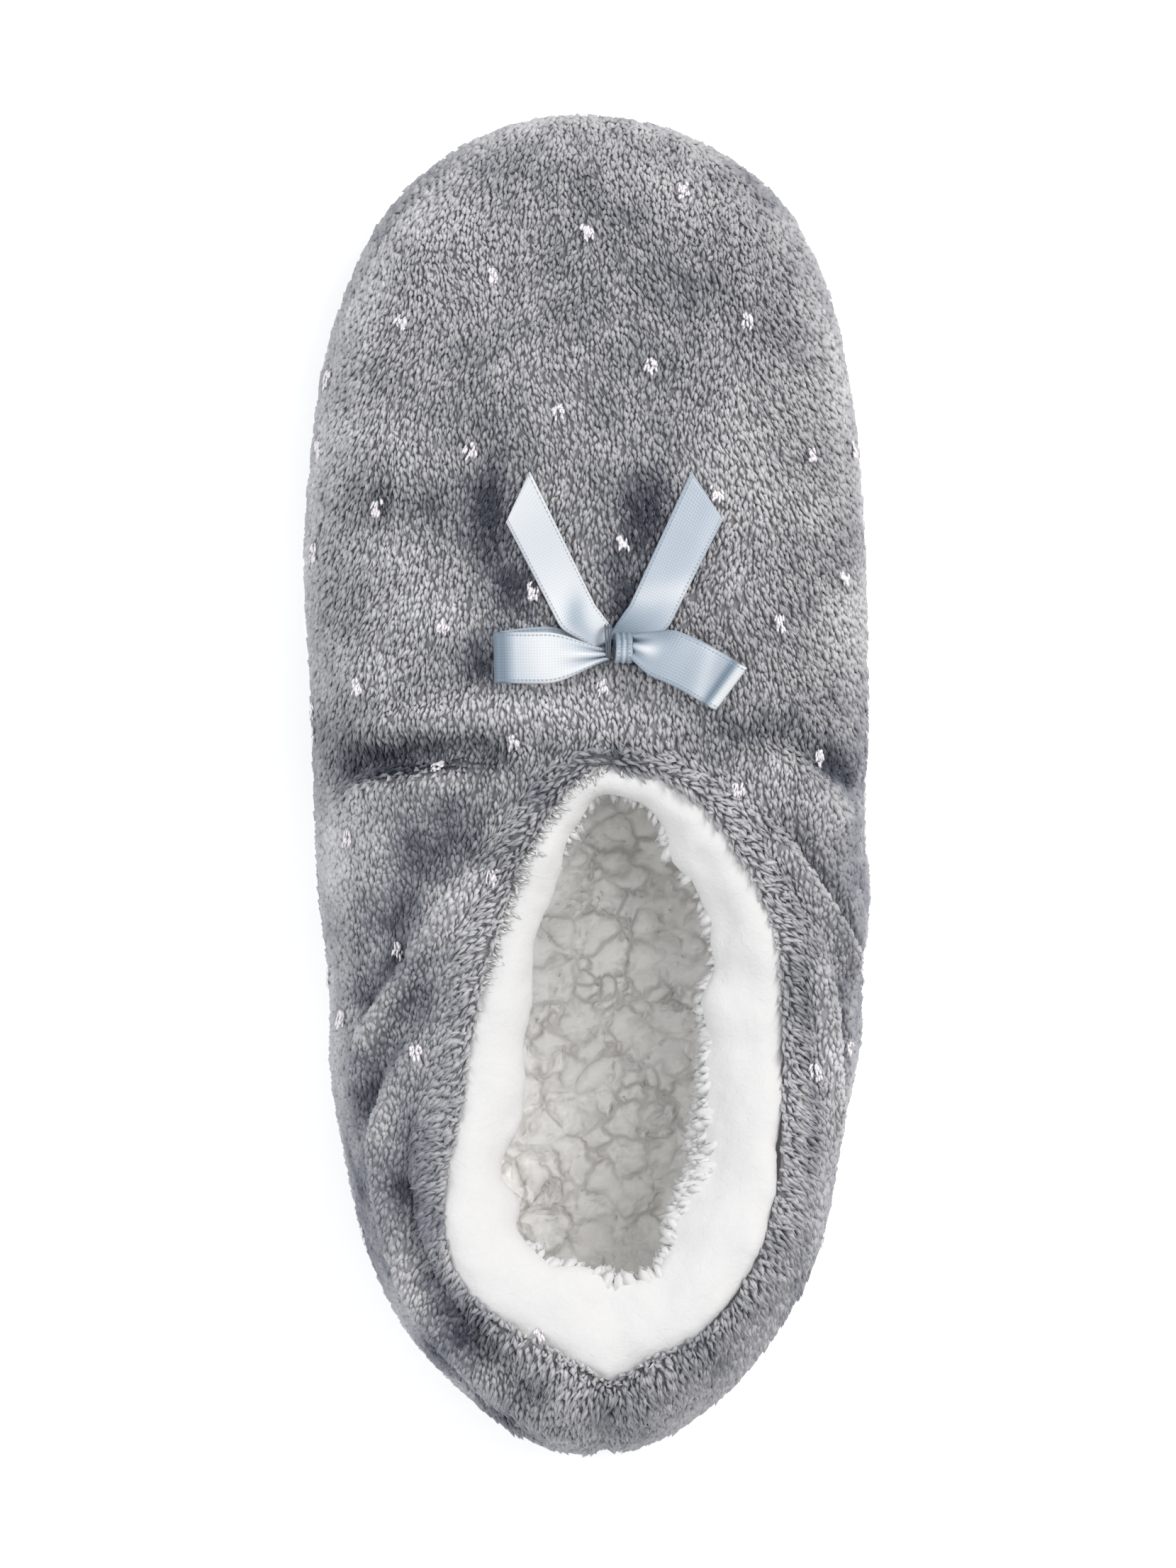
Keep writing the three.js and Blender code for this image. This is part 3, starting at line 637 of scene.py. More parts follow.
def sherpa_fleece(name, settings):
    """Sherpa of curled polyester fibre: white, matt and springy, with painted shade greying it between its
    clumps, its well-lit roll painted darker than the fleece inside, and a painted glow down inside.
    """
    mat, tree, bsdf = new_material(name)
    reach = add_node(tree, "ShaderNodeAttribute", attribute_name="reach")
    # painted shade and light by reach: grey down in the crevices, lightest on the fleece inside the slipper
    # against its shade, and the well-lit roll at the collar painted darker
    ramp = add_node(tree, "ShaderNodeValToRGB", {"Fac": reach.outputs["Fac"]})
    ramp.color_ramp.elements[0].color = (*settings.crevice_shade_colour, 1)
    ramp.color_ramp.elements[0].position = 0.06
    ramp.color_ramp.elements[1].color = (*settings.fleece_colour, 1)
    ramp.color_ramp.elements[1].position = 0.8
    depth = ramp.color_ramp.elements.new(0.36)
    depth.color = (*settings.depth_colour, 1)
    coords = add_node(tree, "ShaderNodeTexCoord")
    # painted shade along thin crevices between clumps of about 7.2 mm, their lines bent by the fleece,
    # inside the slipper only
    bend = add_node(tree, "ShaderNodeTexNoise", {"Vector": coords.outputs["Object"]},
                    Scale=170.0, Detail=2.0)
    bend_by = add_node(tree, "ShaderNodeVectorMath", {0: bend.outputs["Color"]}, operation="SCALE",
                       Scale=0.0055)
    bent = add_node(tree, "ShaderNodeVectorMath", {0: coords.outputs["Object"], 1: bend_by.outputs["Vector"]},
                    operation="ADD")
    clumps = add_node(tree, "ShaderNodeTexVoronoi", {"Vector": bent.outputs["Vector"]},
                      feature="DISTANCE_TO_EDGE", Scale=1 / 0.0072)
    between = add_node(tree, "ShaderNodeMapRange", {"Value": clumps.outputs["Distance"]},
                       interpolation_type="SMOOTHSTEP", From_Min=0.0, From_Max=0.12, To_Min=0.5, To_Max=0.0)
    patchy = add_node(tree, "ShaderNodeTexNoise", {"Vector": coords.outputs["Object"]},
                      Scale=95.0, Detail=1.0)
    fading = add_node(tree, "ShaderNodeMapRange", {"Value": patchy.outputs["Fac"]},
                      From_Min=0.36, From_Max=0.6, To_Min=0.1, To_Max=1.0)
    inside = add_node(tree, "ShaderNodeMapRange", {"Value": reach.outputs["Fac"]},
                      interpolation_type="SMOOTHSTEP", From_Min=0.6, From_Max=0.8, To_Min=1.0, To_Max=0.0)
    lines = add_node(tree, "ShaderNodeMath", {0: between.outputs["Result"], 1: fading.outputs["Result"]},
                     operation="MULTIPLY")
    crevices = add_node(tree, "ShaderNodeMath", {0: lines.outputs["Value"], 1: inside.outputs["Result"]},
                        operation="MULTIPLY")
    colour = add_node(tree, "ShaderNodeMix", {"Factor": crevices.outputs["Value"]}, data_type="RGBA")
    tree.links.new(ramp.outputs["Color"], colour.inputs[6])
    colour.inputs[7].default_value = (*settings.crevice_shade_colour, 1)
    # curls of 1.6 mm, the finest that still show
    curls = add_node(tree, "ShaderNodeTexNoise", {"Vector": coords.outputs["Object"]},
                     Scale=620.0, Detail=4.0, Roughness=0.62, Distortion=1.2)
    curled = add_node(tree, "ShaderNodeMath", {0: curls.outputs["Fac"], 1: 0.22}, operation="MULTIPLY")
    rounded = add_node(tree, "ShaderNodeMapRange", {"Value": clumps.outputs["Distance"]},
                       interpolation_type="SMOOTHERSTEP",
                       From_Min=-0.25, From_Max=0.42, To_Min=0.0, To_Max=1.4)
    domed = add_node(tree, "ShaderNodeMath", {0: rounded.outputs["Result"], 1: inside.outputs["Result"]},
                     operation="MULTIPLY")
    raised = add_node(tree, "ShaderNodeMath", {0: curled.outputs["Value"], 1: domed.outputs["Value"]},
                      operation="ADD")
    sunk = add_node(tree, "ShaderNodeMath", {0: raised.outputs["Value"], 1: crevices.outputs["Value"]},
                    operation="SUBTRACT")
    bump = add_node(tree, "ShaderNodeBump", {"Height": sunk.outputs["Value"]},
                    Strength=0.6, Distance=0.0014)
    # painted glow: an emission that keeps the inside pale, in place of light coming through the loose pile
    # and cloth
    painted_glow = add_node(tree, "ShaderNodeValToRGB", {"Fac": reach.outputs["Fac"]})
    painted_glow.color_ramp.elements[0].color = (*linear("#fffdfa"), 1)
    painted_glow.color_ramp.elements[0].position = 0.55
    painted_glow.color_ramp.elements[1].color = (0, 0, 0, 1)
    painted_glow.color_ramp.elements[1].position = 0.9
    tree.links.new(painted_glow.outputs["Color"], bsdf.inputs["Emission Color"])
    bsdf.inputs["Emission Strength"].default_value = 0.062
    tree.links.new(colour.outputs[2], bsdf.inputs["Base Color"])
    tree.links.new(bump.outputs["Normal"], bsdf.inputs["Normal"])
    bsdf.inputs["Roughness"].default_value = 0.95
    bsdf.inputs["Specular IOR Level"].default_value = 0.15
    bsdf.inputs["Sheen Weight"].default_value = 0.15
    bsdf.inputs["Sheen Roughness"].default_value = 0.6
    return mat


def sole_textile(name, settings):
    """Woven polyester sole cloth: plain weave of 1.2 mm yarns, matt, painted a little lighter on its crowns
    and darker between its yarns.
    """
    mat, tree, bsdf = new_material(name)
    coords = add_node(tree, "ShaderNodeTexCoord")
    # a wave texture has 20 radians to a unit of its scale
    yarn, wave_radians = 0.0012, 20
    weft, warp, rise = (
        add_node(tree, "ShaderNodeTexWave", {"Vector": coords.outputs["Object"]}, bands_direction=axis,
                 Scale=math.tau / yarn / wave_radians, Distortion=0.6, Detail=1.0)
        for axis in "XYZ")
    flat = add_node(tree, "ShaderNodeMath", {0: weft.outputs["Fac"], 1: warp.outputs["Fac"]},
                    operation="ADD")
    crowns = add_node(tree, "ShaderNodeMath", {0: flat.outputs["Value"], 1: rise.outputs["Fac"]},
                      operation="ADD")
    weave = add_node(tree, "ShaderNodeMapRange", {"Value": crowns.outputs["Value"]},
                     From_Min=0.8, From_Max=2.6, To_Min=0.0, To_Max=1.0)
    # painted highlight on the yarns' crowns and painted shade between them
    mix = add_node(tree, "ShaderNodeMix", {"Factor": weave.outputs["Result"]}, data_type="RGBA")
    mix.inputs[6].default_value = (*settings.cloth_dark, 1)
    mix.inputs[7].default_value = (*settings.cloth_light, 1)
    bump = add_node(tree, "ShaderNodeBump", {"Height": weave.outputs["Result"]},
                    Strength=0.6, Distance=0.0004)
    tree.links.new(mix.outputs[2], bsdf.inputs["Base Color"])
    tree.links.new(bump.outputs["Normal"], bsdf.inputs["Normal"])
    bsdf.inputs["Roughness"].default_value = 0.9
    return mat


def grip_rubber(name, settings):
    """Soft PVC printed in dots on the cloth: darker than it, with a dull shine."""
    mat, tree, bsdf = new_material(name)
    coords = add_node(tree, "ShaderNodeTexCoord")
    grain = add_node(tree, "ShaderNodeTexNoise", {"Vector": coords.outputs["Object"]},
                     Scale=900.0, Detail=2.0)
    mix = add_node(tree, "ShaderNodeMix", {"Factor": grain.outputs["Fac"]}, data_type="RGBA")
    mix.inputs[6].default_value = (*linear("#505156"), 1)
    mix.inputs[7].default_value = (*settings.cloth_dark, 1)
    tree.links.new(mix.outputs[2], bsdf.inputs["Base Color"])
    bsdf.inputs["Roughness"].default_value = 0.5
    return mat


def satin_ribbon(name, settings):
    """Polyester satin ribbon: a smooth steep twill with painted shine where the ribbon turns to the light and
    painted blue-grey shade in its folds, with a row of fine picks along either selvage."""
    mat, tree, bsdf = new_material(name)
    along = add_node(tree, "ShaderNodeAttribute", attribute_name="along")
    across = add_node(tree, "ShaderNodeAttribute", attribute_name="across")
    edge = add_node(tree, "ShaderNodeAttribute", attribute_name="edge")
    tone = add_node(tree, "ShaderNodeAttribute", attribute_name="tone")
    # spacings in millimetres: the real floats, 0.3 mm apart in diamond order, are too fine to show
    float_spacing, pick_spacing = 1.1, 0.8
    waves = []
    for way in ("ADD", "SUBTRACT"):
        slant = add_node(tree, "ShaderNodeMath", {0: along.outputs["Fac"], 1: across.outputs["Fac"]},
                         operation=way)
        turns = add_node(tree, "ShaderNodeMath", {0: slant.outputs["Value"], 1: 2 * math.pi / float_spacing},
                         operation="MULTIPLY")
        waves.append(add_node(tree, "ShaderNodeMath", {0: turns.outputs["Value"]}, operation="SINE"))
    twill = add_node(tree, "ShaderNodeMath", {0: waves[0].outputs["Value"], 1: waves[1].outputs["Value"]},
                     operation="MULTIPLY")
    picks = add_node(tree, "ShaderNodeMath", {0: along.outputs["Fac"], 1: 2 * math.pi / pick_spacing},
                     operation="MULTIPLY")
    dots = add_node(tree, "ShaderNodeMath", {0: picks.outputs["Value"]}, operation="SINE")
    # the selvage's row of picks lies about 0.55 mm in from the edge
    near = add_node(tree, "ShaderNodeMapRange", {"Value": edge.outputs["Fac"]},
                    interpolation_type="SMOOTHSTEP", From_Min=0.3, From_Max=0.55, To_Min=0.0, To_Max=1.0)
    far = add_node(tree, "ShaderNodeMapRange", {"Value": edge.outputs["Fac"]},
                   interpolation_type="SMOOTHSTEP", From_Min=0.55, From_Max=0.85, To_Min=1.0, To_Max=0.0)
    row = add_node(tree, "ShaderNodeMath", {0: near.outputs["Result"], 1: far.outputs["Result"]},
                   operation="MULTIPLY")
    dotted = add_node(tree, "ShaderNodeMapRange", {"Value": dots.outputs["Value"]},
                      From_Min=-1.0, From_Max=1.0, To_Min=0.15, To_Max=0.95)
    picked = add_node(tree, "ShaderNodeMath", {0: row.outputs["Value"], 1: dotted.outputs["Result"]},
                      operation="MULTIPLY")
    twilled = add_node(tree, "ShaderNodeMath", {0: twill.outputs["Value"], 1: 0.3}, operation="MULTIPLY")
    relief = add_node(tree, "ShaderNodeMath", {0: twilled.outputs["Value"], 1: picked.outputs["Value"]},
                      operation="SUBTRACT")
    bump = add_node(tree, "ShaderNodeBump", {"Height": relief.outputs["Value"]},
                    Strength=0.6, Distance=0.00012)
    grain = add_node(tree, "ShaderNodeMath", {0: twill.outputs["Value"], 1: 0.14}, operation="MULTIPLY")
    # painted shine and painted fold shade from each piece's tone, with the twill's grain laid on it
    toned = add_node(tree, "ShaderNodeMath", {0: tone.outputs["Fac"], 1: grain.outputs["Value"]},
                     operation="ADD")
    level = add_node(tree, "ShaderNodeMapRange", {"Value": toned.outputs["Value"]},
                     From_Min=-1.0, From_Max=1.0, To_Min=0.0, To_Max=1.0)
    ramp = add_node(tree, "ShaderNodeValToRGB", {"Fac": level.outputs["Result"]})
    ramp.color_ramp.elements[0].color = (*settings.fold_shade_colour, 1)
    ramp.color_ramp.elements[1].color = (*settings.shine_colour, 1)
    middle = ramp.color_ramp.elements.new(0.5)
    middle.color = (*settings.satin_colour, 1)
    mix = add_node(tree, "ShaderNodeMix", {"Factor": picked.outputs["Value"]}, data_type="RGBA")
    tree.links.new(ramp.outputs["Color"], mix.inputs[6])
    mix.inputs[7].default_value = (*settings.selvage_colour, 1)
    tree.links.new(mix.outputs[2], bsdf.inputs["Base Color"])
    tree.links.new(bump.outputs["Normal"], bsdf.inputs["Normal"])
    bsdf.inputs["Roughness"].default_value = 0.34
    bsdf.inputs["Specular IOR Level"].default_value = 0.6
    bsdf.inputs["Sheen Weight"].default_value = 0.12
    bsdf.inputs["Sheen Roughness"].default_value = 0.3
    return mat


def silver_lurex(name):
    """Lurex: flat metallised film thread, so a bright broken glint, a little lilac in the shade."""
    mat, tree, bsdf = new_material(name)
    coords = add_node(tree, "ShaderNodeTexCoord")
    grain = add_node(tree, "ShaderNodeTexNoise", {"Vector": coords.outputs["Object"]},
                     Scale=1500.0, Detail=1.0)
    mix = add_node(tree, "ShaderNodeMix", {"Factor": grain.outputs["Fac"]}, data_type="RGBA")
    mix.inputs[6].default_value = (*linear("#efe9ef"), 1)
    mix.inputs[7].default_value = (*linear("#fffcfe"), 1)
    tree.links.new(mix.outputs[2], bsdf.inputs["Base Color"])
    bsdf.inputs["Metallic"].default_value = 0.15
    bsdf.inputs["Roughness"].default_value = 0.32
    return mat


def dark_thread(name):
    """Spun polyester sewing thread, matt and dark."""
    mat, tree, bsdf = new_material(name)
    coords = add_node(tree, "ShaderNodeTexCoord")
    ply = add_node(tree, "ShaderNodeTexNoise", {"Vector": coords.outputs["Object"]}, Scale=2500.0)
    mix = add_node(tree, "ShaderNodeMix", {"Factor": ply.outputs["Fac"]}, data_type="RGBA")
    mix.inputs[6].default_value = (*linear("#3c4450"), 1)
    mix.inputs[7].default_value = (*linear("#6d7885"), 1)
    tree.links.new(mix.outputs[2], bsdf.inputs["Base Color"])
    bsdf.inputs["Roughness"].default_value = 0.7
    return mat


# Settings

class PlushSettings(bpy.types.PropertyGroup):
    pile_length: FloatProperty(name="Pile length", description="Length of one tuft on the vamp",
                               default=0.0026, unit="LENGTH")
    pile_width: FloatProperty(name="Tuft width", description="Width of one tuft on the vamp",
                              default=0.00094, unit="LENGTH")
    collar_pile: FloatProperty(name="Collar pile", description="Length of the brushed-up pile at the collar",
                               default=0.0034, unit="LENGTH")
    tuft_pitch: FloatProperty(name="Tuft pitch", description="Spacing of the tufts along the slipper",
                              default=0.00105, unit="LENGTH")
    # the root colour is painted shade, for the depth of the pile at its roots and between the tufts
    root_shade_colour: FloatVectorProperty(name="Root colour", description="Plush down between the tufts",
                                     subtype="COLOR", size=3, default=linear("#727274"))
    tip_colour: FloatVectorProperty(name="Tip colour", description="Plush at the tips of the tufts",
                                    subtype="COLOR", size=3, default=linear("#c5c4c5"))


class SherpaSettings(bpy.types.PropertyGroup):
    clump_size: FloatProperty(name="Clump size", description="Spacing of the fleece's clumps",
                              default=0.0085, unit="LENGTH")
    clump_height: FloatProperty(name="Clump height", description="How far a clump stands above its crevices",
                                default=0.0030, unit="LENGTH")
    lock_count: IntProperty(name="Locks", default=560,
                            description="Number of locks along the roll's inner edge")
    down_count: IntProperty(name="Down", default=1100,
                            description="Number of short fibres along the collar's left side")
    # painted light: the well-lit roll takes the darker fleece colour and the shaded inside the lighter depth
    # colour; the crevice colour is painted shade between the clumps
    fleece_colour: FloatVectorProperty(name="Fleece colour", description="Top of the fleece",
                                       subtype="COLOR", size=3, default=linear("#e3e2e1"))
    depth_colour: FloatVectorProperty(name="Depth colour", description="Fleece down inside the slipper",
                                      subtype="COLOR", size=3, default=linear("#fbfaf7"))
    crevice_shade_colour: FloatVectorProperty(name="Crevice colour", description="Fleece between its clumps",
                                        subtype="COLOR", size=3, default=linear("#98938d"))


class SoleSettings(bpy.types.PropertyGroup):
    dot_pitch: FloatProperty(name="Dot pitch", description="Spacing of the grip dots",
                             default=0.0080, unit="LENGTH")
    dot_width: FloatProperty(name="Dot width", description="Width of a grip dot", default=0.0028,
                             unit="LENGTH")
    dot_height: FloatProperty(name="Dot height", description="Height of a grip dot", default=0.0005,
                              unit="LENGTH")
    cloth_dark: FloatVectorProperty(name="Cloth shade", description="Sole cloth between its yarns",
                                    subtype="COLOR", size=3, default=linear("#5f6066"))
    cloth_light: FloatVectorProperty(name="Cloth light", description="Sole cloth on its yarns",
                                     subtype="COLOR", size=3, default=linear("#85868c"))


class RibbonSettings(bpy.types.PropertyGroup):
    width: FloatProperty(name="Ribbon width", description="Width of the satin ribbon", default=0.0095,
                         unit="LENGTH")
    thickness: FloatProperty(name="Ribbon thickness", description="Thickness of the satin ribbon",
                             default=0.00035, unit="LENGTH")
    tail_length: FloatProperty(name="Tail length", description="Knot to the middle of a tail's end",
                               default=0.0314, unit="LENGTH")
    loop_length: FloatProperty(name="Loop length", description="Knot to the end of a loop",
                               default=0.0213, unit="LENGTH")
    # the shine and fold colours are painted highlight and painted shade; the satin colour is the ribbon's own
    satin_colour: FloatVectorProperty(name="Satin colour", description="Face of the ribbon",
                                      subtype="COLOR", size=3, default=linear("#adb8c4"))
    shine_colour: FloatVectorProperty(name="Shine colour", description="Ribbon turned to the light",
                                      subtype="COLOR", size=3, default=linear("#eeeff0"))
    fold_shade_colour: FloatVectorProperty(name="Fold colour", description="Ribbon in its folds",
                                     subtype="COLOR", size=3, default=linear("#6b7c8c"))
    selvage_colour: FloatVectorProperty(name="Selvage colour", description="Woven edge of the ribbon",
                                        subtype="COLOR", size=3, default=linear("#8796a4"))


class StageSettings(bpy.types.PropertyGroup):
    floor_colour: FloatVectorProperty(name="Floor colour", description="Plain pale floor",
                                      subtype="COLOR", size=3, default=linear("#f7f7f7"))
    view_height: FloatProperty(name="View height", description="Length of floor that fills the picture",
                               default=0.2922, unit="LENGTH")
    lens: FloatProperty(name="Lens", description="Focal length in millimetres", default=800.0)


# Pieces

class SLIPPER_OT_stage(bpy.types.Operator):
    """Camera straight above, plain pale floor and soft light from all sides"""
    bl_idname = "slipper.stage"
    bl_label = "Stage"

    def execute(self, context):
        settings = context.scene.slipper_stage
        sensor, middle_height = 36.0, 0.016
        away = settings.view_height * settings.lens / sensor
        bpy.ops.object.camera_add(location=(0, 0, middle_height + away), rotation=(0, 0, 0))
        camera = context.object
        camera.name = "camera"
        camera.data.lens = settings.lens
        camera.data.sensor_width = sensor
        camera.data.sensor_fit = "AUTO"
        camera.data.clip_end = 20
        context.scene.camera = camera
        context.scene.view_settings.view_transform = "Standard"

        bpy.ops.mesh.primitive_plane_add(size=6, location=(0, 0, -0.0002))
        floor = context.object
        floor.name = "floor"
        bpy.ops.object.transform_apply(location=True, rotation=True, scale=True)
        mat, _, bsdf = new_material("matt_backdrop_paper")
        bsdf.inputs["Base Color"].default_value = (*settings.floor_colour, 1)
        bsdf.inputs["Roughness"].default_value = 1.0
        bsdf.inputs["Specular IOR Level"].default_value = 0.0
        bsdf.inputs["Emission Color"].default_value = (1, 1, 1, 1)
        bsdf.inputs["Emission Strength"].default_value = 0.4
        floor.data.materials.append(mat)

        world = bpy.data.worlds.new("studio")
        world.use_nodes = True
        world.node_tree.nodes["Background"].inputs["Color"].default_value = (0.99, 0.99, 1.0, 1)
        world.node_tree.nodes["Background"].inputs["Strength"].default_value = 0.55
        context.scene.world = world

        for name, place, size, power, colour in (
            ("key_softbox", (0.95, 0.85, 0.95), 0.7, 12.0, (1.0, 0.985, 0.97)),
            ("fill_softbox", (-1.05, 0.0, 0.9), 0.9, 5.5, (0.9, 0.95, 1.0)),
            ("heel_softbox", (0.1, -1.2, 0.9), 0.9, 0.6, (0.94, 0.97, 1.0)),
            ("top_softbox", (0.8, 0.2, 2.2), 0.8, 9.5, (1.0, 0.995, 0.99)),
        ):
            bpy.ops.object.light_add(type="AREA", location=place)
            lamp = context.object
            lamp.name = name
            lamp.data.shape = "DISK"
            lamp.data.size = size
            lamp.data.energy = power
            lamp.data.color = colour
            lamp.rotation_euler = (-Vector(place)).to_track_quat("-Z", "Y").to_euler()
        return {"FINISHED"}


class SLIPPER_OT_plush_shell(bpy.types.Operator):
    """Outer skin of the upper with its creases, and the pile that grows from it"""
    bl_idname = "slipper.plush_shell"
    bl_label = "Plush shell and pile"

    def execute(self, context):
        settings = context.scene.slipper_plush
        shell = copy_of_node("upper", "plush_shell")
        recut(shell, settings.tuft_pitch / MM, stretch=STITCH_STRETCH, softness=14)
        centre, normal, _ = faces_of(shell)
        inside_by, _, _ = edge_distance(centre, COLLAR)
        roll = (inside_by > 0.9) & (centre[:, 2] > COLLAR_ZONE)
        drop_faces(shell, roll | faces_inwards(centre, normal))
        points, normals = place_of(shell), normals_of(shell)
        # the cloth lies a pile's height below the slipper's outline
        lift = fold_effect(points)[0] - 0.75 + 0.35 * ripple(points, 22, 5)
        lift *= 0.15 + 0.85 * ease(6.5, 12, points[:, 2])
        inside_by, _, _ = edge_distance(points, COLLAR)
        lift -= 0.9 * ease(-1.2, 1.2, inside_by) * (points[:, 2] > COLLAR_ZONE)
        points += normals * lift[:, None]
        points[:, 2] = np.maximum(points[:, 2], 5.4)
        set_place(shell, points)
        apply_modifier(shell, "SMOOTH", factor=0.5, iterations=2)

        cloth = plush_cloth("coral_fleece_plush", settings)
        self.grow_pile(shell, cloth, settings)
        apply_modifier(shell, "DECIMATE", ratio=0.33)
        points = place_of(shell)
        inside_by, _, _ = edge_distance(points, COLLAR)
        near_collar = ease(-10, -1, inside_by) * (points[:, 2] > 30)
        # painted shade on the ground between the tufts, less where the pile is brushed flat or fluffed at the
        # collar
        mark(shell, "reach", 0.2 + 0.3 * np.maximum(brushed(points), 0.7 * near_collar))
        # tone: the creases' painted shade and highlight, the patches of nap, painted bow shadow and painted
        # light, and a random mottle
        mark(shell, "tone", nap_and_painted_light(points))
        apply_modifier(shell, "SOLIDIFY", thickness=0.0015, offset=-1.0)
        hand_over(shell, cloth, "plush", "upper")
        return {"FINISHED"}

    def grow_pile(self, shell, cloth, settings):
        """A tuft on each stitch of the knitted ground, combed along the slipper."""
        rng = np.random.default_rng(41)
        centre, normal, _ = faces_of(shell)
        inside_by, inwards, _ = edge_distance(centre, COLLAR)
        keep = centre[:, 2] > 6.2
        centre, normal, inwards, inside_by = centre[keep], normal[keep], inwards[keep], inside_by[keep]
        near_collar = ease(-10, -1, inside_by) * (centre[:, 2] > 30)
        outwards = -inwards
        count = len(centre)
        flow = np.stack([outwards[:, 0] * near_collar * 0.75,
                         -1 + 0.35 * near_collar + outwards[:, 1] * near_collar * 0.75,
                         np.full(count, -0.2)], 1)
        # the nap turns a little in soft patches, and each tuft a little more
        turn = 0.22 * ripple(centre, 18, 21) + rng.normal(0, 0.2 + 0.12 * near_collar, count)
        flow = np.stack([flow[:, 0] * np.cos(turn) - flow[:, 1] * np.sin(turn),
                         flow[:, 0] * np.sin(turn) + flow[:, 1] * np.cos(turn), flow[:, 2]], 1)
        tangent = unit(flow - normal * (flow * normal).sum(1)[:, None])
        laid = brushed(centre)
        rise = np.radians((rng.uniform(2, 32, count) + 14 * near_collar) * (1 - 0.6 * laid))
        way = unit(tangent * np.cos(rise)[:, None] + normal * np.sin(rise)[:, None])
        across = np.cross(normal, tangent)
        pitch = settings.tuft_pitch / MM
        brick = np.where(np.round(centre[:, 0] / pitch * STITCH_STRETCH).astype(int) % 2 == 0, 0.5, 0.0)
        root = (centre + across * rng.normal(0, 0.24, count)[:, None]
                + tangent * (rng.normal(0, 0.24, count) + pitch * brick)[:, None])
        length = settings.pile_length / MM * (1 - near_collar) + settings.collar_pile / MM * near_collar
        length = length * rng.uniform(0.65, 1.3, count)
        width = settings.pile_width / MM * (1 + 0.2 * laid) * rng.uniform(0.65, 1.4, count)
        root = root - tangent * (length * (0.5 - 0.25 * near_collar))[:, None] - normal * 0.2
        points, faces, reach, size = tufts(root, way, normal, length, width, width * 0.75)
        # each tuft takes the same tone, painted shade and highlight with the nap, and a little random tone of
        # its own
        tone = np.clip(nap_and_painted_light(centre) + rng.normal(0, 0.09 - 0.03 * laid, count), -1, 1).repeat(size)
        # less painted shade towards the roots where the pile is brushed flat or fluffed at the collar
        fluffed = np.maximum(laid, 0.8 * near_collar)
        reach += (0.2 + 0.4 * fluffed.repeat(size)) * (1 - reach)
        per_tuft = len(faces) // count

        along, on_left = centre[:, 1], centre[:, 0] < 3
        regions = {
            "pile_toe": along > TOE_PILE_FROM,
            "pile_vamp": (along <= TOE_PILE_FROM) & (along > VAMP_PILE_FROM),
            "pile_left": (along <= VAMP_PILE_FROM) & on_left,
            "pile_right": (along <= VAMP_PILE_FROM) & ~on_left,
        }
        for name, chosen in regions.items():
            pile = triangle_object(
                name,
                points.reshape(-1, size, 3)[chosen].reshape(-1, 3),
                faces.reshape(-1, per_tuft, 3)[:chosen.sum()].reshape(-1, 3),
                {"reach": reach.reshape(-1, size)[chosen].ravel(),
                 "tone": tone.reshape(-1, size)[chosen].ravel()},
            )
            hand_over(pile, cloth, "plush", "upper")


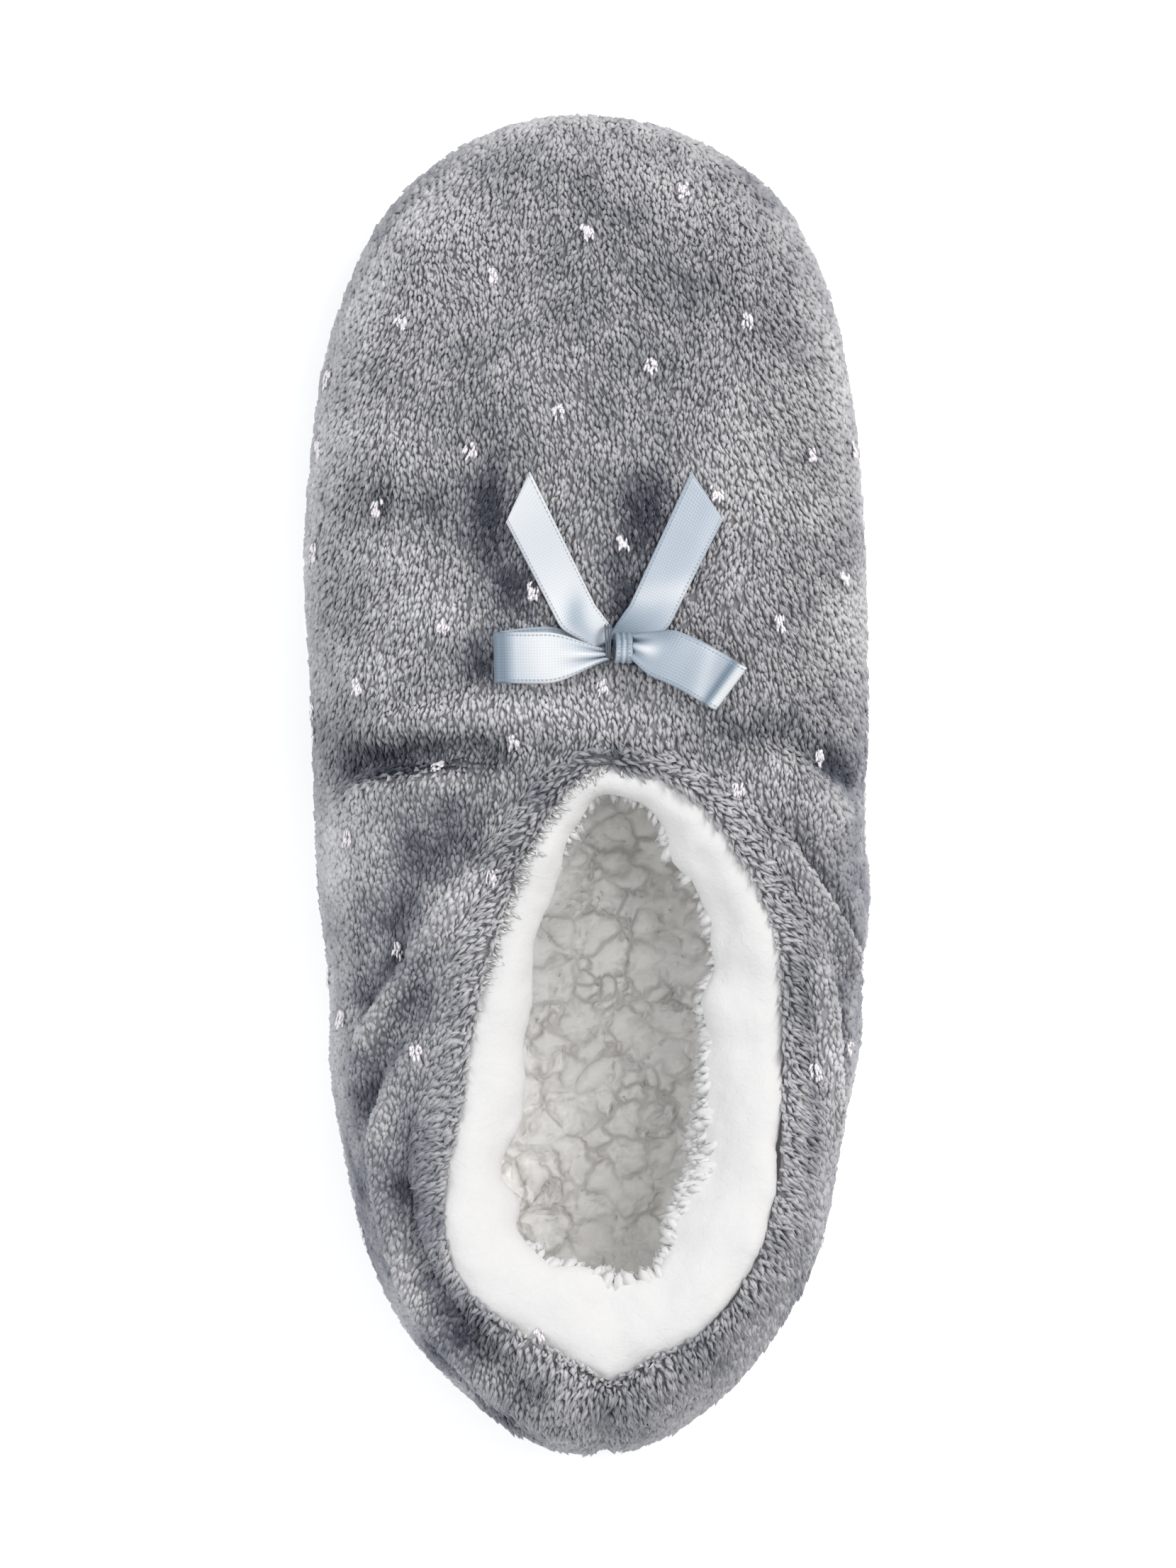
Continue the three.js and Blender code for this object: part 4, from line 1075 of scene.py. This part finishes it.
class SLIPPER_OT_sherpa_lining(bpy.types.Operator):
    """Sherpa inside the upper, rolled over at the collar, with its clumps, locks and down"""
    bl_idname = "slipper.sherpa_lining"
    bl_label = "Sherpa lining"

    def execute(self, context):
        settings = context.scene.slipper_sherpa
        rim = collar_heights(upper_tree())
        fleece = sherpa_fleece("sherpa_fleece", settings)
        lining = copy_of_node("upper", "sherpa_lining")
        recut(lining, 1.5, softness=6)
        centre, normal, _ = faces_of(lining)
        inside_by, _, _ = edge_distance(centre, COLLAR)
        roll = (inside_by > -4.0) & (centre[:, 2] > COLLAR_ZONE)
        drop_faces(lining, ~(roll | faces_inwards(centre, normal)))
        self.fill_out_roll(lining, rim)
        apply_modifier(lining, "SOLIDIFY", thickness=0.002, offset=-1.0)
        recut(lining, 1.05, softness=4)
        self.raise_clumps(lining, rim, settings)
        self.locks(lining, rim, fleece, settings)
        self.down(lining, rim, fleece, settings)
        hand_over(lining, fleece, "sherpa", "upper")

        insole = copy_of_node("insole", "sherpa_insole")
        recut(insole, 0.85, softness=4)
        points, normals = place_of(insole), normals_of(insole)
        upward = ease(0.2, 0.7, normals[:, 2])
        lift, height = fleece_relief(points, settings, 31)
        lift += 0.8 * ripple(points, 20, 33)
        points += normals * (lift * upward)[:, None]
        set_place(insole, points)
        # painted shade in the insole's crevices, by how high the clumps stand
        mark(insole, "reach", 0.2 + 0.4 * height)
        hand_over(insole, fleece, "sherpa", "insole")
        return {"FINISHED"}

    def slopes_softly(self, points):
        """1 along the left of the opening, where the fleece runs down without an edge."""
        return ease(2, -8, points[:, 0]) * ease(-92, -76, points[:, 1]) * ease(-8, -26, points[:, 1])

    def fill_out_roll(self, lining, rim):
        """Push the fleece in from the collar, so that it shows as a broad soft roll from above."""
        points = place_of(lining)
        inside_by, inwards, nearest = edge_distance(points, COLLAR)
        below = rim[nearest] - points[:, 2]
        depths = (0, 1, 3.2, 6.5, 10, 14, 20, 30, 38)
        rolled = np.interp(below, depths, (0, 0.15, 0.5, 0.86, 1.0, 0.92, 0.5, 0, 0))
        sloped = np.interp(below, depths, (0, 0.15, 0.48, 0.74, 0.9, 1.02, 1.16, 1.4, 1.6))
        share = rolled + (sloped - rolled) * self.slopes_softly(points)
        width = SHERPA_WIDTH[nearest] + 1.6 * ripple(points, 7, 51)
        # under the vamp the wall stays back
        shift = (width + 1.5) * share * ease(-26, -8, inside_by)
        points[:, :2] += inwards * shift[:, None]
        on_top = below < 8
        points[:, 2] += on_top * (1.2 * np.exp(-((below - 1.5) / 3) ** 2) * ease(0.5, 3, inside_by)
                                  - 2.3 * ease(1.2, -0.8, inside_by))
        set_place(lining, points)
        apply_modifier(lining, "SMOOTH", factor=0.5, iterations=6)

    def raise_clumps(self, lining, rim, settings):
        """Clumps and crevices down inside the slipper, and a smoother, fluffy roll at the collar."""
        points, normals = place_of(lining), normals_of(lining)
        inside_by, _, nearest = edge_distance(points, COLLAR)
        below = rim[nearest] - points[:, 2]
        inner = faces_inwards(points, normals) | ((inside_by > -0.4) & (below < 16))
        lift, height = fleece_relief(points, settings, 61)
        soft = self.slopes_softly(points)
        on_roll = ease(13, 8, below) * (1 - soft) + ease(24, 5, below) * soft
        on_roll *= ease(-3, 0, inside_by)
        fluff = 0.3 * ripple(points, 4.5, 64) + 0.1 * ripple(points, 2.4, 65)
        lift = (lift * (1 - 0.93 * on_roll) * (1 - 0.45 * soft) + fluff * (0.35 + 0.35 * on_roll)
                + 0.4 * ripple(points, 9, 63))
        points += normals * (lift * inner)[:, None]
        set_place(lining, points)
        # painted shade in the crevices inside; the roll takes 1, the fleece colour, painted darker for the
        # light it gets
        mark(lining, "reach", np.clip((0.2 + 0.4 * height) * (1 - on_roll) + on_roll, 0, 1))

    def locks(self, lining, rim, fleece, settings):
        """Torn-looking locks along the roll's inner edge, right round but for its soft left side."""
        rng = np.random.default_rng(67)
        centre, normal, area = faces_of(lining)
        inside_by, inwards, nearest = edge_distance(centre, COLLAR)
        below = rim[nearest] - centre[:, 2]
        at_edge = ((below > 5) & (below < 12) & (inside_by > SHERPA_WIDTH[nearest] - 2.5)
                   & (normal[:, 2] > -0.5) & (self.slopes_softly(centre) < 0.4))
        chance = area * at_edge
        chosen = rng.choice(len(centre), settings.lock_count, p=chance / chance.sum(), replace=False)
        root, up = centre[chosen], normal[chosen]
        count = len(chosen)
        sideways = np.stack([-inwards[chosen, 1], inwards[chosen, 0]], 1) * rng.normal(0, 0.3, (count, 1))
        combed = inwards[chosen] + sideways + np.array([0, -0.35])
        way = unit(np.concatenate([combed, rng.uniform(-0.5, 0.1, (count, 1))], 1))
        length = rng.uniform(2.0, 6.0, count)
        width = length * rng.uniform(0.3, 0.55, count)
        root = root - way * (0.55 * length)[:, None] - up * 0.2
        points, faces, reach, _ = tufts(root, way, up, length, width, width * 0.55,
                                        curl=rng.normal(0, 0.5, count))
        locks = triangle_object("sherpa_locks", points, faces, {"reach": 0.94 + 0.06 * reach})
        hand_over(locks, fleece, "sherpa", "upper")

    def down(self, lining, rim, fleece, settings):
        """Short fibres that soften the line between fleece and plush along the collar's left side."""
        rng = np.random.default_rng(71)
        centre, normal, area = faces_of(lining)
        inside_by, inwards, nearest = edge_distance(centre, COLLAR)
        below = rim[nearest] - centre[:, 2]
        at_rim = np.exp(-((inside_by - 1.3) / 0.9) ** 2)
        at_rim *= ease(8, -4, centre[:, 0]) * ease(-44, -24, centre[:, 1])
        chance = area * at_rim * ((inside_by > 0.8) & (below < 15) & (normal[:, 2] > -0.5))
        chosen = rng.choice(len(centre), settings.down_count, p=chance / chance.sum())
        root, up = centre[chosen], normal[chosen]
        count = len(chosen)
        inward = np.concatenate([inwards[chosen], np.zeros((count, 1))], 1)
        flow = rng.normal(0, 0.3, (count, 3)) - inward
        tangent = unit(flow - up * (flow * up).sum(1)[:, None])
        rise = np.radians(rng.uniform(0, 8, count))
        way = unit(tangent * np.cos(rise)[:, None] + up * np.sin(rise)[:, None])
        length = rng.uniform(1.6, 3.0, count)
        width = rng.uniform(0.4, 0.8, count)
        root = root + rng.normal(0, 0.3, (count, 3)) - up * 0.2 - tangent * (0.4 * length)[:, None]
        points, faces, _, _ = tufts(root, way, up, length, width, width * 0.25)
        down = triangle_object("sherpa_down", points, faces, {"reach": np.ones(len(points))})
        hand_over(down, fleece, "sherpa", "upper")


class SLIPPER_OT_sole(bpy.types.Operator):
    """Textile sole with its printed grip dots"""
    bl_idname = "slipper.sole"
    bl_label = "Sole"

    def execute(self, context):
        settings = context.scene.slipper_sole
        sole = copy_of_node("sole", "textile_sole")
        recut(sole, 1.6, softness=4)
        points = place_of(sole)
        dot = settings.dot_height / MM
        points[:, 2] += dot * ease(2.5, 0.5, points[:, 2])
        set_place(sole, points)
        hand_over(sole, sole_textile("woven_sole_cloth", settings), "sole_cloth", "sole")

        tree = surface_of(sole)
        bpy.ops.mesh.primitive_cylinder_add(vertices=12, radius=settings.dot_width / 2,
                                            depth=2.4 * settings.dot_height, location=(0, 0, 0))
        model = bpy.context.object
        apply_modifier(model, "BEVEL", width=settings.dot_height * 0.45, segments=2, limit_method="ANGLE")
        shape = place_of(model)
        faces = [tuple(p.vertices) for p in model.data.polygons]
        bpy.data.objects.remove(model)
        pitch = settings.dot_pitch / MM
        points, polygons = [], []
        for row, y in enumerate(np.arange(-116, 118, pitch * 0.87)):
            for x in np.arange(-52, 52, pitch) + (pitch / 2 if row % 2 else 0):
                ring = [tree.ray_cast(Vector((x + dx, y + dy, -20)), Vector((0, 0, 1)))[0]
                        for dx, dy in ((0, 0), (4, 0), (-4, 0), (0, 4), (0, -4))]
                if None in ring or max(hit.z for hit in ring) - min(hit.z for hit in ring) > 0.8:
                    continue
                low = max(ring[0].z - dot, 0.0)
                first = len(points)
                bottom = shape[:, 2].min()
                points += [(x + sx, y + sy, low + sz - bottom) for sx, sy, sz in shape]
                polygons += [tuple(first + i for i in face) for face in faces]
        mesh = bpy.data.meshes.new("grip_dots")
        mesh.from_pydata([tuple(c * MM for c in p) for p in points], [], polygons)
        dots = bpy.data.objects.new("grip_dots", mesh)
        bpy.context.scene.collection.objects.link(dots)
        hand_over(dots, grip_rubber("printed_grip_rubber", settings), "sole_cloth", "sole")
        return {"FINISHED"}


class SLIPPER_OT_specks(bpy.types.Operator):
    """Silver specks knitted into the plush"""
    bl_idname = "slipper.specks"
    bl_label = "Silver specks"

    def execute(self, context):
        rng = np.random.default_rng(81)
        tree = surface_of(bpy.data.objects["plush_shell"])
        spots = [drop_onto(tree, x, y) for x, y in SPECKS]
        for side, y, height in SIDE_SPECKS:
            hit = tree.ray_cast(Vector((side * 200, y, height)), Vector((-side, 0, 0)))
            spots.append((np.array(hit[0]), np.array(hit[1])))
        root, way, up = [], [], []
        for place, normal in spots:
            normal = normal if normal[2] > -0.5 else -normal
            down = unit(np.array((0.0, -1.0, -0.05)) - normal * (-normal[1] - 0.05 * normal[2]))
            across = np.cross(normal, down)
            for _ in range(STRIPS_PER_SPECK):
                sideways, along = rng.uniform(-0.9, 0.9), rng.uniform(-1.3, 1.2)
                lean = rng.uniform(-0.4, 0.4)
                way.append(unit(down + across * lean + normal * rng.uniform(-0.1, 0.2)))
                raised = rng.uniform(1.3, 1.8) * (1 if normal[2] > 0.5 else 0.6)
                root.append(place + across * sideways + down * (along - 0.8) + normal * raised)
                up.append(normal)
        root, way, up = np.array(root), np.array(way), np.array(up)
        length = rng.uniform(1.1, 2.1, len(root))
        width = rng.uniform(0.4, 0.75, len(root))
        points, faces, _, _ = tufts(root, way, up, length, width, width * 0.5,
                                    curl=rng.uniform(-0.3, 0.3, len(root)))
        specks = triangle_object("silver_specks", points, faces, {})
        hand_over(specks, silver_lurex("silver_lurex"), "satin", "upper", smooth=False)
        return {"FINISHED"}


class SLIPPER_OT_bow(bpy.types.Operator):
    """Satin ribbon bow: two tails, two loops, the wrap round its middle and the tacking thread"""
    bl_idname = "slipper.bow"
    bl_label = "Ribbon bow"

    def execute(self, context):
        settings = context.scene.slipper_ribbon
        tree = upper_tree()
        satin = satin_ribbon("satin_ribbon", settings)
        width = settings.width / MM
        self.tail("satin_tail_left", tree, settings, satin, width, 116.6, -3.55, -6.5, (0.5, 0.8, 0.865))
        self.tail("satin_tail_right", tree, settings, satin, width, 64.3, 3.9, 5.6, (0.5, 0.87, 0.97))
        self.loop("satin_loop_left", tree, settings, satin, width, 181.6, (-0.6, -1.2), 0.0)
        self.loop("satin_loop_right", tree, settings, satin, width, -23.6, (2.4, 1.0), 0.23)
        self.wrap(tree, settings, satin)
        return {"FINISHED"}

    def strip(self, name, place, shine, width, thickness, cells):
        """A ribbon from a grid: place(share along, share across -1 to 1) gives each point, and
        shine(the same) its painted light and shade, -1 to 1."""
        bpy.ops.object.select_all(action="DESELECT")
        bpy.ops.mesh.primitive_grid_add(x_subdivisions=cells[0], y_subdivisions=cells[1], size=2,
                                        location=(0, 0, 0))
        ribbon = bpy.context.object
        ribbon.name = name
        ribbon.data.name = name
        flat = place_of(ribbon) * MM
        points = np.array([place((u + 1) / 2, v) for u, v, _ in flat])
        set_place(ribbon, points)
        order = np.lexsort((np.round(flat[:, 0], 5), np.round(flat[:, 1], 5)))
        rows = points[order].reshape(cells[1] + 1, cells[0] + 1, 3)
        gone = np.concatenate([np.zeros((cells[1] + 1, 1)),
                               np.cumsum(np.linalg.norm(np.diff(rows, axis=1), axis=2), axis=1)], 1)
        along = np.empty(len(points))
        along[order] = np.tile(gone.mean(0), (cells[1] + 1, 1)).ravel()
        across = flat[:, 1] * width / 2
        mark(ribbon, "along", along)
        mark(ribbon, "across", across)
        mark(ribbon, "edge", width / 2 - np.abs(across))
        # tone: each piece's painted shine and painted shade
        mark(ribbon, "tone", np.clip([shine((u + 1) / 2, v) for u, v, _ in flat], -1, 1))
        apply_modifier(ribbon, "SOLIDIFY", thickness=thickness, offset=0.0)
        return ribbon

    def tail(self, name, tree, settings, satin, width, heading, root, cut, taper):
        """One tail: a ribbon that leaves the knot at its heading and ends in a slanting cut."""
        angle = math.radians(heading)
        ahead = np.array((math.cos(angle), math.sin(angle)))
        left = np.array((-ahead[1], ahead[0]))
        length = settings.tail_length / MM
        side_lit = 1 if root < 0 else -1

        def place(share, side):
            reach = 1.0 + share * (length - 1.0 + side * cut / 2 * share ** 6)
            narrow = np.interp(share, (0, 0.15, 1), taper)
            out = root * (0.3 + 0.7 * float(ease(0, 0.2, share)))
            spot = np.array(BOW_CENTRE) + (out, 0) + ahead * reach + left * (side * width / 2 * narrow)
            ground = drop_onto(tree, spot[0], spot[1])[0][2]
            cup = 0.5 * side ** 2 * (1 - 0.6 * share) + 0.35 * math.sin(3.1 * share + 1.2 * side)
            roll_over = 0.7 * side * side_lit * float(ease(0.45, 0.15, share))
            rise = 0.8 + 1.2 * (1 - float(ease(0, 0.3, share))) + cup + roll_over + 0.5 * share ** 3
            return (spot[0], spot[1], ground + rise)

        # painted light: on the left tail a painted highlight with a dark painted fold and painted shade at
        # the knot; on the right one a painted highlight band, painted shade at its base and a lighter edge
        def shine(share, side):
            if root < 0:
                fold = math.exp(-((share - 0.2 + 0.1 * side) / 0.1) ** 2 - ((side - 0.15) / 0.75) ** 2)
                return 0.66 + 0.12 * math.sin(7 * share) - 1.0 * fold - 0.5 * math.exp(-(share / 0.08) ** 2)
            band = math.exp(-((share - 0.33 + 0.09 * side) / 0.1) ** 2)
            return (0.02 + 0.4 * band - 0.95 * math.exp(-((share - 0.05 * side) / 0.16) ** 2)
                    + 0.2 * math.exp(-((side + 1) / 0.5) ** 2) - 0.06 * share)

        ribbon = self.strip(name, place, shine, width, settings.thickness, (44, 12))
        hand_over(ribbon, satin, "satin", name.replace("satin", "bow"))

    def loop(self, name, tree, settings, satin, width, heading, root, cut):
        """One loop: a ribbon that runs out from the knot on the vamp and back over itself."""
        angle = math.radians(heading)
        ahead = np.array((math.cos(angle), math.sin(angle)))
        left = np.array((-ahead[1], ahead[0]))
        centre = np.array(BOW_CENTRE) + root
        length = settings.loop_length / MM
        end = 1.1
        is_left = cut == 0.0
        slip, pinch, bulge = (-1.1, 0.2, 0.3) if is_left else (0.3, 0.4, 0.9)

        def course(share):
            """Out along the vamp, round the end and back over the top to the knot."""
            if share < 0.46:
                return share / 0.46, share / 0.46 * (length - end), 0.0
            if share < 0.54:
                turn = (share - 0.46) / 0.08 * math.pi
                return 1.0, length - end + end * math.sin(turn), (1 - math.cos(turn)) / 2
            out = (1 - share) / 0.46
            return out, out * (length - end), 1.0

        def pleats(out, side):
            """Gathers that run out from the knot and open before the middle of the loop."""
            fade = 1 - float(ease(0.08, 0.55 if is_left else 0.35, out))
            return (0.6 * math.cos(2.6 * math.pi * side + 0.6) + 0.4 * math.cos(5.3 * side + 1)) * fade

        def place(share, side):
            out, reach, high = course(share)
            open_by = pinch + (1 - pinch) * float(ease(0, 0.6 if is_left else 0.4, out)) ** 0.8
            skew = cut * side * width / 2 * out
            aside = (slip * (1 - high) * math.sin(math.pi * min(out, 1.0)) ** 0.7
                     + bulge * math.sin(math.pi * min(out, 1.0)))
            spot = centre + ahead * (reach + skew) + left * (side * width / 2 * open_by + aside)
            ground = drop_onto(tree, spot[0], spot[1])[0][2]
            arch = 1.5 + 3.0 * math.sin(math.pi * min(out, 1) ** 0.8) * (1 - 0.25 * side ** 2)
            low = 0.75 + 0.25 * side ** 2
            rise = low * (1 - high) + (low + 2 * end * 0.55 + arch * (0.35 + 0.65 * out ** 0.2)
                                       * (1 - 0.45 * out ** 3)) * high
            return (spot[0], spot[1], ground + rise + 0.7 * pleats(out, side) * (0.3 + 0.7 * high))

        # painted light: painted shade on the lower layer, where the loop tucks in at the knot and along its
        # pleats, painted highlight on the pleats' crowns and across the loop, painted shade where its end
        # turns over and under the right loop's fold, and a painted light rim at the right loop's end
        def shine(share, side):
            out, _, high = course(share)
            if high < 0.5:
                return -0.1
            tucked = 0.75 * math.exp(-(out / 0.1) ** 2)
            gathered = 0.65 * pleats(out, side) - tucked
            if is_left:
                turned = 1.25 * float(ease(0.85, 1.0, out)) ** 0.8
                lit = 0.8 * math.exp(-((out - 0.55 + 0.06 * side) / 0.3) ** 2)
                return 0.05 + lit - turned + gathered
            lit = (0.75 * math.exp(-((out - 0.22) / 0.1) ** 2 - ((side - 0.1) / 0.4) ** 2)
                   + 0.45 * math.exp(-((out - 0.78 + 0.07 * side) / 0.09) ** 2))
            under_fold = 0.6 * math.exp(-((out - 0.22) / 0.16) ** 2 - ((side - 0.85) / 0.35) ** 2)
            turned = 0.95 * math.exp(-((out - 0.93) / 0.035) ** 2)
            rim = 0.9 * float(ease(0.96, 1.0, out))
            return -0.18 + lit - under_fold - turned + rim + gathered

        ribbon = self.strip(name, place, shine, width, settings.thickness, (84, 16))
        hand_over(ribbon, satin, "satin", name.replace("satin", "bow"))

    def wrap(self, tree, settings, satin):
        """Pleated turn of ribbon round the middle, and the dark thread that tacks it down."""
        x, y = BOW_CENTRE
        ground = drop_onto(tree, x, y)[0][2]
        wide = 3.4

        def place(share, side):
            turn = (share - 0.25) * 2 * math.pi
            pleat = 0.16 * math.cos(side * 9.0)
            along = (2.6 + pleat) * math.cos(turn)
            high = 2.0 + (2.0 + pleat) * math.sin(turn)
            return (x + 1.9 + side * wide / 2 * (1 - 0.12 * abs(math.sin(turn))) + 0.25 * math.sin(turn),
                    y + along, ground + 0.6 + high)

        # painted light: a painted highlight across the wrap, painted shade towards its toe side and stripes
        # of painted light and shade along its pleats
        def shine(share, side):
            turn = (share - 0.25) * 2 * math.pi
            lit = 0.45 * math.exp(-((math.cos(turn) + 0.4) / 0.35) ** 2)
            return lit - 0.6 * float(ease(-0.1, 0.9, math.cos(turn))) - 0.4 + 0.55 * math.cos(side * 9.0)

        ribbon = self.strip("satin_wrap", place, shine, wide, settings.thickness, (48, 10))
        hand_over(ribbon, satin, "satin", "bow_knot")
        bpy.ops.object.select_all(action="DESELECT")
        bpy.ops.mesh.primitive_torus_add(major_segments=40, minor_segments=8, major_radius=0.0024,
                                         minor_radius=0.00018, location=(0, 0, 0))
        thread = bpy.context.object
        thread.name = "tacking_thread"
        loop = place_of(thread)
        rows = []
        for turn, shift in enumerate((-0.35, 0.05, 0.4)):
            around = np.stack([x - 0.9 + shift + loop[:, 2] + 0.15 * (turn - 1) * loop[:, 1] / 2.4,
                               y + 0.9 + loop[:, 1] * 1.4 + 0.2 * shift,
                               ground + 2.4 + loop[:, 0] * 0.95], 1)
            rows.append(around)
        faces = [tuple(p.vertices) for p in thread.data.polygons]
        bpy.data.objects.remove(thread)
        mesh = bpy.data.meshes.new("tacking_thread")
        mesh.from_pydata([tuple(p) for p in np.concatenate(rows) * MM], [],
                         [tuple(i + k * len(loop) for i in face) for k in range(3) for face in faces])
        thread = bpy.data.objects.new("tacking_thread", mesh)
        bpy.context.scene.collection.objects.link(thread)
        pick(thread)
        bpy.ops.object.mode_set(mode="EDIT")
        bpy.ops.mesh.select_all(action="SELECT")
        bpy.ops.mesh.normals_make_consistent(inside=False)
        bpy.ops.object.mode_set(mode="OBJECT")
        hand_over(thread, dark_thread("sewing_thread"), "satin", "bow_knot")


class SLIPPER_PT_panel(bpy.types.Panel):
    bl_label = "Plush House Slipper"
    bl_idname = "SLIPPER_PT_panel"
    bl_space_type = "VIEW_3D"
    bl_region_type = "UI"
    bl_category = "Slipper"

    def draw(self, context):
        scene = context.scene
        for group in (scene.slipper_stage, scene.slipper_plush, scene.slipper_sherpa,
                      scene.slipper_sole, scene.slipper_ribbon):
            box = self.layout.box()
            for name in group.__annotations__:
                box.prop(group, name)
        for operator in OPERATORS:
            self.layout.operator(operator.bl_idname)


SETTINGS = {
    "slipper_stage": StageSettings,
    "slipper_plush": PlushSettings,
    "slipper_sherpa": SherpaSettings,
    "slipper_sole": SoleSettings,
    "slipper_ribbon": RibbonSettings,
}
OPERATORS = (
    SLIPPER_OT_stage,
    SLIPPER_OT_plush_shell,
    SLIPPER_OT_sherpa_lining,
    SLIPPER_OT_sole,
    SLIPPER_OT_specks,
    SLIPPER_OT_bow,
)


def register():
    for group in SETTINGS.values():
        bpy.utils.register_class(group)
    for name, group in SETTINGS.items():
        setattr(bpy.types.Scene, name, PointerProperty(type=group))
    for item in (*OPERATORS, SLIPPER_PT_panel):
        bpy.utils.register_class(item)


def unregister():
    for item in (SLIPPER_PT_panel, *reversed(OPERATORS)):
        bpy.utils.unregister_class(item)
    for name, group in SETTINGS.items():
        delattr(bpy.types.Scene, name)
        bpy.utils.unregister_class(group)


def main():
    register()
    bpy.ops.slipper.stage()
    bpy.ops.slipper.plush_shell()
    bpy.ops.slipper.sherpa_lining()
    bpy.ops.slipper.sole()
    bpy.ops.slipper.specks()
    bpy.ops.slipper.bow()
    bpy.context.view_layer.update()


if __name__ == "__main__":
    main()
